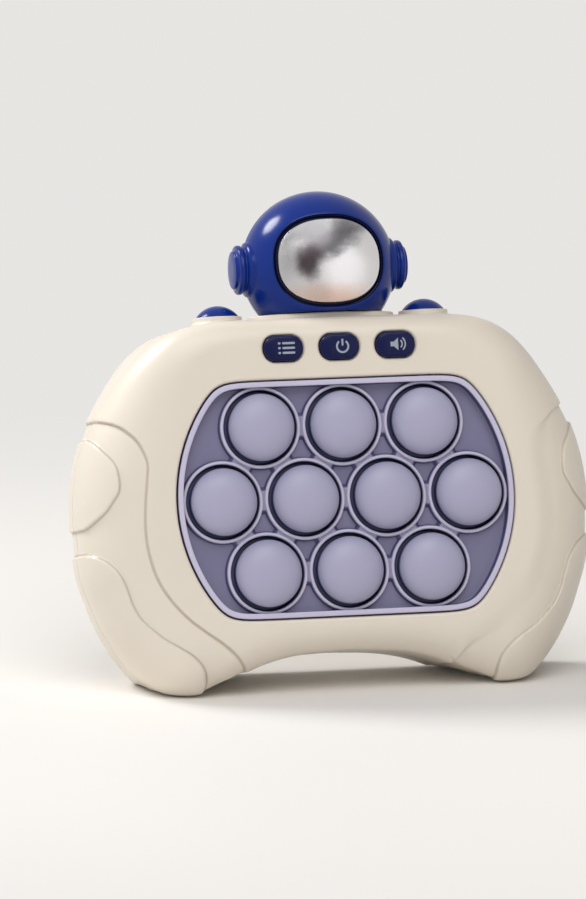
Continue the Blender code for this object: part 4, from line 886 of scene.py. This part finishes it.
def makeShoulders():
    # A rod with a dome on top: height = top + rise - s * (1 - cos a), radius = s * sin a, on a sphere s.
    top, rise, radius = shoulder["top"], shoulder["rise"], shoulder["radius"]
    sphere = (radius**2 + rise**2) / (2.0 * rise)
    angles = np.linspace(math.asin(radius / sphere), 0.0, 20)
    dome = np.stack((sphere * np.sin(angles), top + rise - sphere * (1.0 - np.cos(angles))), 1)
    profile = np.vstack(((radius, shoulder["foot"]), (radius, top - shoulder["ease"]), dome))
    collar = filleted(shoulder["collar"], 6)
    for sign, word in sides:
        at = (sign * shoulder["across"], case["frontDepth"], 0.0)
        node = f"{word}_shoulder_button"
        gridPiece(f"{word}Shoulder", turnedGrid(profile, at, "z", 64), navy, node,
                  (node,))
        gridPiece(f"{word}Collar", turnedGrid(collar, at, "z", 72), ivory, "case")


makeButtons()
makeIcons()
makeShoulders()
print("buttons made")


# Helmet, visor and ear pods

helmet = inMetres(up=66.0, half=(22.0, 18.69, 21.59), base=52.9, lip=0.15) | {
    "inward": (0.992, 0.9), "around": 240
}


def eggDepth(plan):
    # Depth of the egg in front of its middle plane: d * sqrt(1 - (x/a)^2 - (z/b)^2).
    a, d, b = helmet["half"]
    square = ((plan - (0.0, helmet["up"])) / (a, b))**2
    return d * np.sqrt(np.maximum(1.0 - square.sum(1), 0.0))


def eggPlan(tilt, turn):
    # Across and up on the egg: a * sin(tilt) * cos(turn) and b * sin(tilt) * sin(turn).
    a, _, b = helmet["half"]
    return np.stack((a * np.sin(tilt) * np.cos(turn), helmet["up"] + b * np.sin(tilt) * np.sin(turn)), 1)


def visorOutline(grow):
    # A superellipse, |x / a|^n + |z / b|^n = 1, grown all round.
    power = 2.0 / visor["power"]
    turns = unit(fullTurn(helmet["around"]))
    half = visor["half"] + grow
    return np.sign(turns) * np.abs(turns)**power * half + (0.0, visor["up"])


def halfHelmet(name, rings, lip, material, node):
    # Closes a half: its last ring turns inwards at the lip's depth, and nothing goes below the base.
    inner = rings[-1]
    for share in helmet["inward"]:
        inner = atDepth(inner[:, [0, 2]] * (share, share) + (0.0, helmet["up"] * (1.0 - share)), lip)
        rings.append(inner)
    grid = np.array(rings)
    grid[..., 2] = np.maximum(grid[..., 2], helmet["base"])
    gridPiece(name, grid, material, "case", (node,))


def makeHelmet():
    # Front and rear halves of an egg, depth = d * cos(tilt), the front with the groove for the visor
    middle, gap = case["frontDepth"], case["gap"]
    a, d, b = helmet["half"]
    rings = []
    for grow, sink in visor["grooveRings"]:
        plan = visorOutline(grow)
        rings.append(atDepth(plan, middle - eggDepth(plan) + sink))
    x, z = ((plan - (0.0, helmet["up"])) / (a, b)).T
    start = np.arcsin(np.clip(np.hypot(x, z), 0.0, 1.0))
    for share in np.linspace(0.0, 1.0, 34)[1:]:
        tilt = start + (quarter - start) * share
        depth = np.minimum(middle - d * np.cos(tilt), middle - gap - helmet["lip"])
        rings.append(atDepth(eggPlan(tilt, np.arctan2(z, x)), depth))
    halfHelmet("helmetFront", rings, middle - gap, helmetNavy, "helmet_front")
    spin = fullTurn(helmet["around"])
    rings = [atDepth(eggPlan(tilt, spin), middle + max(d * math.cos(tilt), gap + helmet["lip"]))
             for tilt in np.linspace(0.0, 1.0, 44) * quarter]
    halfHelmet("helmetRear", rings, middle + gap, navy, "helmet_rear")


def makeVisor():
    # The film's depth = crown + (edge - crown) * share^2, from its middle out to its edge
    edge = case["frontDepth"] - eggDepth(visorOutline(0.0)) + visor["sunk"]
    rings = [atDepth(visorOutline(-inset), edge + sink) for inset, sink in visor["edgeRings"]]
    rim, middle = visorOutline(-visor["rim"]), np.array((0.0, visor["up"]))
    rings += [atDepth(middle + (rim - middle) * share, visor["crown"] + (edge - visor["crown"]) * share**2)
              for share in np.linspace(1.0, 0.0, 26)]
    gridPiece("visorMirror", rings, mirror, "case", ("visor",))


collar = inMetres(across=21.0, deep=12.4,
                  section=((1.5, 46.0, 0), (0.9, 50.8, 0.6), (0.05, 51.5, 0.5), (0.0, 52.6, 0.5),
                           (-4.0, 52.6, 0.2), (-4.3, 48.0, 0)))
earProfile = ((8.6, 18.4, 0), (7.7, 21.3, 0.6), (6.5, 21.9, 0.4), (6.5, 22.3, 0.2), (7.0, 22.7, 0.3),
              (7.0, 23.9, 1.0), (5.7, 24.2, 0.3), (5.5, 24.4, 0.2), (5.3, 25.0, 0.7), (3.0, 25.25, 0.8),
              (0.0, 25.25, 0))


def makeCollarAndPods():
    spin = fullTurn(160)
    rings = [np.stack(((collar["across"] + grow) * np.cos(spin),
                       case["frontDepth"] + (collar["deep"] + grow) * np.sin(spin),
                       np.full(len(spin), height)), 1)
             for grow, height in filleted(collar["section"], 6)]
    gridPiece("helmetCollar", rings, ivory, "case", caps=("last",))
    profile = filleted(np.array(earProfile) * mm, 6)
    for sign, word in sides:
        grid = turnedGrid(profile * (1.0, sign), (0.0, case["frontDepth"], helmet["up"]), "x", 72)
        gridPiece(f"{word}Ear", grid, navy, "case", (f"{word}_ear_pod",))


makeHelmet()
makeVisor()
makeCollarAndPods()
print("helmet made")


# Rear shell, with its bay, door recess, grille and screw wells

# Rods are start, end and radius; the plate behind the door is half width, start, low and high
back = inMetres(inside=38.8, into=0.6, doorIn=39.2, sunk=38.9, face=43.0, post=(20.2, 34.0, 4.5),
                well=(29.0, 44.0, 3.1), doorPost=(29.9, 38.0, 3.1), doorHole=(32.8, 39.5, 2.0),
                plate=(31.0, 34.5, -24.2, 29.4)) | {
    "rays": 720, "flat": 0.72, "rings": (22, 14), "wallShares": (1.0, 0.6, 0.25, 0.0)
}
bay = inMetres(half=26.5, low=-12.0, high=24.0, floor=28.0, wall=1.8)
door = inMetres(half=28.7, low=-22.0, high=25.0, corner=3.0, gap=0.3,
                rings=((-1.8, 39.2), (0.0, 39.2), (0.0, 40.7), (-0.09, 40.91), (-0.3, 41.0), (-3.0, 41.0)),
                tab=((37.2, 21.2), (37.2, 27.2), (38.6, 27.2), (38.6, 23.7), (39.8, 23.7), (39.8, 21.2)),
                tabAt=12.0, tabHalf=3.6, slotHalf=3.9, slotDepths=(36.3, 39.05), slotUp=(23.4, 27.8),
                screwUp=-17.0, well=(39.9, 43.0, 3.1), hole=(38.0, 40.5, 1.55), ridgeUp=-9.0, ridgeStep=2.6,
                ridgeHalf=8.0, ridgeLess=0.8, ridgeWide=0.45, ridgeDepths=(40.65, 42.0))
grille = inMetres(across=-45.0, up=2.0, step=3.2, radius=7.2, half=0.8, start=36.0)
# A screw of the case or the door: depth of its seat and height of its head
screw = inMetres(shank=1.2, long=3.0, radius=2.6, top=1.9, cross=1.5, slot=0.28, over=1.0, case=(29.3, 1.6),
                 door=(40.2, 0.7)) | {"rim": 0.45, "recess": 0.35}
screwPlaces = [(side * u * 75.4 * mm, v * (50.4 if v > 0 else 53.9) * mm)
               for u, v in ((0.80, 0.40), (0.80, -0.22), (0.62, -0.75)) for side in (-1.0, 1.0)]
doorMiddle = (0.0, (door["low"] + door["high"]) / 2.0)


def makeRearShell():
    rays = Rays(back["rays"])
    flat = back["flat"] * rays.radius
    outer = caseRings(rays, 1.0, flat, *back["rings"])
    inner = wallRings(rays, flat[:, None] * rays.ray, 1.0, back["wallShares"])
    shell = gridPiece("caseRear", inner + outer, ivory, "case", ("rear_shell",),
                      caps=("first", "last"))
    into = back["inside"] + back["into"]
    half, low, high, floor, wall = [bay[name] for name in ("half", "low", "high", "floor", "wall")]
    tray = boxShape((-half - wall, floor - wall, low - wall), (half + wall, into, high + wall))
    booleanWith(shell, [tray] + [rodShape(u, v, *back["post"]) for u, v in screwPlaces], "UNION")
    wide, start, foot, top = back["plate"]
    booleanWith(shell, [boxShape((-wide, start, foot), (wide, into, top))], "UNION")
    booleanWith(shell, [rodShape(0.0, door["screwUp"], *back["doorPost"])], "UNION")
    wells = [rodShape(u, v, *back["well"]) for u, v in screwPlaces]
    booleanWith(shell, [boxShape((-half, floor, low), (half, back["doorIn"], high))] + wells, "DIFFERENCE")
    size = (door["half"] + door["gap"], (door["high"] - door["low"]) / 2.0 + door["gap"])
    recess = prism(roundedOutline(doorMiddle, size, door["corner"], 0.0, 10, 2), back["sunk"], back["face"])
    booleanWith(shell, [recess], "DIFFERENCE")
    slots = []
    for step in range(-2, 3):
        rise = step * grille["step"]
        size = (math.sqrt(grille["radius"]**2 - rise**2), grille["half"])
        outline = roundedOutline((grille["across"], grille["up"] + rise), size, grille["half"], 0.0, 8, 2)
        slots.append(prism(outline, grille["start"], back["face"]))
    for side in (-door["tabAt"], door["tabAt"]):
        slots.append(boxShape(*[(side + way * door["slotHalf"], depth, upward) for way, depth, upward
                                in zip((-1.0, 1.0), door["slotDepths"], door["slotUp"])]))
    slots.append(rodShape(0.0, door["screwUp"], *back["doorHole"]))
    booleanWith(shell, slots, "DIFFERENCE")
    # Places the painted shade line at the foot of the relief steps
    markStepShade(shell)


def makeDoor():
    size = (door["half"], (door["high"] - door["low"]) / 2.0 - door["gap"])
    rings = [atDepth(roundedOutline(doorMiddle, size, door["corner"], grow, 12, 10), depth)
             for grow, depth in door["rings"]]
    leaf = gridPiece("doorLeaf", rings, ivory, "battery_door",
                     ("battery_door",), caps=("first", "last"))
    section = door["tab"]
    booleanWith(leaf, [[np.stack((np.full(len(section), at + way), section[:, 0], section[:, 1]), 1)
                        for way in (-door["tabHalf"], door["tabHalf"])]
                       for at in (-door["tabAt"], door["tabAt"])], "UNION")
    ridges = []
    for step in range(4):
        half = (door["ridgeHalf"] - door["ridgeLess"] * abs(step - 1.5), door["ridgeWide"])
        outline = roundedOutline((0.0, door["ridgeUp"] + door["ridgeStep"] * step), half, half[1], 0.0, 8, 2)
        ridges.append(prism(outline, *door["ridgeDepths"]))
    ridges.append(rodShape(0.0, door["screwUp"], *door["well"]))
    booleanWith(leaf, ridges, "DIFFERENCE")
    booleanWith(leaf, [rodShape(0.0, door["screwUp"], *door["hole"])], "DIFFERENCE")


def makeScrew(name, node, body, across, upward, seat, head):
    # A pan head with a cross recess.
    shank, radius, top = screw["shank"], screw["radius"], screw["top"]
    profile = filleted(((shank, seat - screw["long"], 0), (shank, seat, 0.1 * mm), (radius, seat, 0.15 * mm),
                        (radius, seat + head * screw["rim"], 0.5 * mm), (top, seat + head, 0.6 * mm),
                        (0.0, seat + head, 0)), 5)
    made = gridPiece(name, turnedGrid(profile, (across, 0.0, upward), "y", 40), steel, body,
                     (node,), caps=("first",))
    for wide, high in ((screw["cross"], screw["slot"]), (screw["slot"], screw["cross"])):
        booleanWith(made, [boxShape((across - wide, seat + head * screw["recess"], upward - high),
                                    (across + wide, seat + head + screw["over"], upward + high))],
                    "DIFFERENCE")


makeRearShell()
makeDoor()
for number, (across, upward) in enumerate(screwPlaces, 1):
    makeScrew(f"caseScrew{number}", f"case_screw_{number}", "case", across, upward, *screw["case"])
makeScrew("doorScrew", "battery_door_screw", "battery_door", 0.0, door["screwUp"], *screw["door"])
print("rear shell made")


# Pieces kept from the CAD model

kept = {
    "main_board": boardGreen, "contact_mat": rubberGrey, "speaker_frame": blackPlastic,
    "speaker_cone": paper, "left_battery_contact": steel, "right_battery_contact": steel,
}
for word in ("mode", "power", "volume", "left_shoulder", "right_shoulder"):
    kept[f"{word}_switch"] = blackPlastic
kept |= {f"board_screw_{number}": steel for number in range(1, 5)}
kept |= {f"battery_cell_{number}": jacket for number in range(1, 4)}
for name, material in kept.items():
    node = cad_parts[name]
    node.data.materials.clear()
    node.data.materials.append(material)


# Floor, light and camera

stage = {"background": (0.80, 0.785, 0.765, 1.0), "reach": 4.0, "drop": 0.2 * mm, "fade": (0.16, 0.5),
         "roughness": 0.6, "noise": 6.0,
         "tones": ((0.80, 0.775, 0.74, 1.0), (0.84, 0.815, 0.78, 1.0))}
light = {"tint": (0.93, 0.95, 1.0, 1.0), "from": (-0.88, -0.4, 0.25), "span": (-0.1, 1.0),
         "level": (0.08, 0.85), "aim": (0.0, 0.0, 0.06),
         # Name, place, size, energy and colour
         "lamps": (("key", (-0.05, -0.72, 1.10), 1.0, 8.0, (1.0, 0.985, 0.965)),
                   ("side", (-0.78, 0.60, 0.99), 0.46, 12.5, (1.0, 0.995, 0.985)),
                   ("fill", (0.6, -1.1, 0.35), 1.0, 1.2, (0.99, 0.985, 1.0)))}
view = {"azimuth": -14.0, "elevation": 9.4, "distance": 2.2, "pixelsPerMetre": 3571.0, "sensor": 36.0,
        "pixels": 899.0, "shift": (-15.15 * mm, 13.27 * mm), "clip": 20.0}


def makeStage():
    # A pale floor that fades, by distance from the object, into the colour that the camera sees behind it
    made, shader = newMaterial("floor", stage["background"][:3], stage["roughness"])
    tree = made.node_tree
    place = objectPlace(tree)
    tone = addNode(tree, "ValToRGB", {"Fac": noiseAt(tree, place, stage["noise"]).outputs["Fac"]})
    for element, colour in zip(tone.color_ramp.elements, stage["tones"]):
        element.color = colour
    tree.links.new(tone.outputs["Color"], shader.inputs["Base Color"])
    away = vectorMaths(tree, "LENGTH", place, (0.0, 0.0, 0.0), "Value")
    glow = addNode(tree, "Emission", {"Color": stage["background"]})
    mix = addNode(tree, "MixShader", {"Fac": stepped(tree, away, *stage["fade"]),
                                                1: shader.outputs[0], 2: glow.outputs[0]})
    tree.links.new(mix.outputs[0], tree.nodes["Material Output"].inputs["Surface"])
    mesh = bpy.data.meshes.new("floor")
    points = [(*point, -stage["drop"]) for point in stage["reach"] * unit(fullTurn(96))]
    mesh.from_pydata(points, [], [list(range(len(points)))])
    mesh.materials.append(made)
    floor = addObject("floor", mesh)


def areaLamp(name, place, size, energy, colour):
    lamp = bpy.data.lights.new(name, "AREA")
    lamp.shape = "ELLIPSE"
    lamp.size, lamp.size_y = size, size
    lamp.energy = energy
    lamp.color = colour
    made = addObject(name, lamp)
    made.location = place
    made.rotation_euler = (Vector(light["aim"]) - Vector(place)).to_track_quat("-Z", "Y").to_euler()


def makeLight():
    # World strength = smooth step of how far a direction points to the lit side; the camera and glossy
    # rays see the plain background instead
    world = bpy.data.worlds.new("studio")
    world.use_nodes = True
    bpy.context.scene.world = world
    tree = world.node_tree
    direction = addNode(tree, "TexCoord", {}).outputs["Generated"]
    toward = vectorMaths(tree, "DOT_PRODUCT", direction, light["from"], "Value")
    soft = addNode(tree, "Background", {
        "Color": light["tint"], "Strength": stepped(tree, toward, *light["span"], *light["level"])})
    seen = addNode(tree, "Background", {"Color": stage["background"], "Strength": 1.0})
    path = addNode(tree, "LightPath", {}).outputs
    either = maths(tree, "MAXIMUM", path["Is Camera Ray"], path["Is Glossy Ray"])
    mix = addNode(tree, "MixShader", {"Fac": either, 1: soft.outputs[0], 2: seen.outputs[0]})
    tree.links.new(mix.outputs[0], tree.nodes["World Output"].inputs["Surface"])
    for lamp in light["lamps"]:
        areaLamp(*lamp)


def makeCamera():
    azimuth, elevation = math.radians(view["azimuth"]), math.radians(view["elevation"])
    right = Vector((math.cos(azimuth), math.sin(azimuth), 0.0))
    behind = Vector((math.sin(azimuth) * math.cos(elevation), -math.cos(azimuth) * math.cos(elevation),
                     math.sin(elevation)))
    up = behind.cross(right)
    across, upward = view["shift"]
    aim = Vector(toWorld((0.0, 0.0, 0.0)).tolist()) + across * right + upward * up
    camera = bpy.data.cameras.new("camera")
    camera.sensor_width = view["sensor"]
    camera.lens = view["pixelsPerMetre"] * view["distance"] * view["sensor"] / view["pixels"]
    camera.clip_end = view["clip"]
    made = addObject("camera", camera)
    made.location = aim + behind * view["distance"]
    made.rotation_euler = (-behind).to_track_quat("-Z", "Y").to_euler()
    bpy.context.scene.camera = made


makeStage()
makeLight()
makeCamera()
bpy.context.scene.view_settings.view_transform = "Standard"
print("stage made")
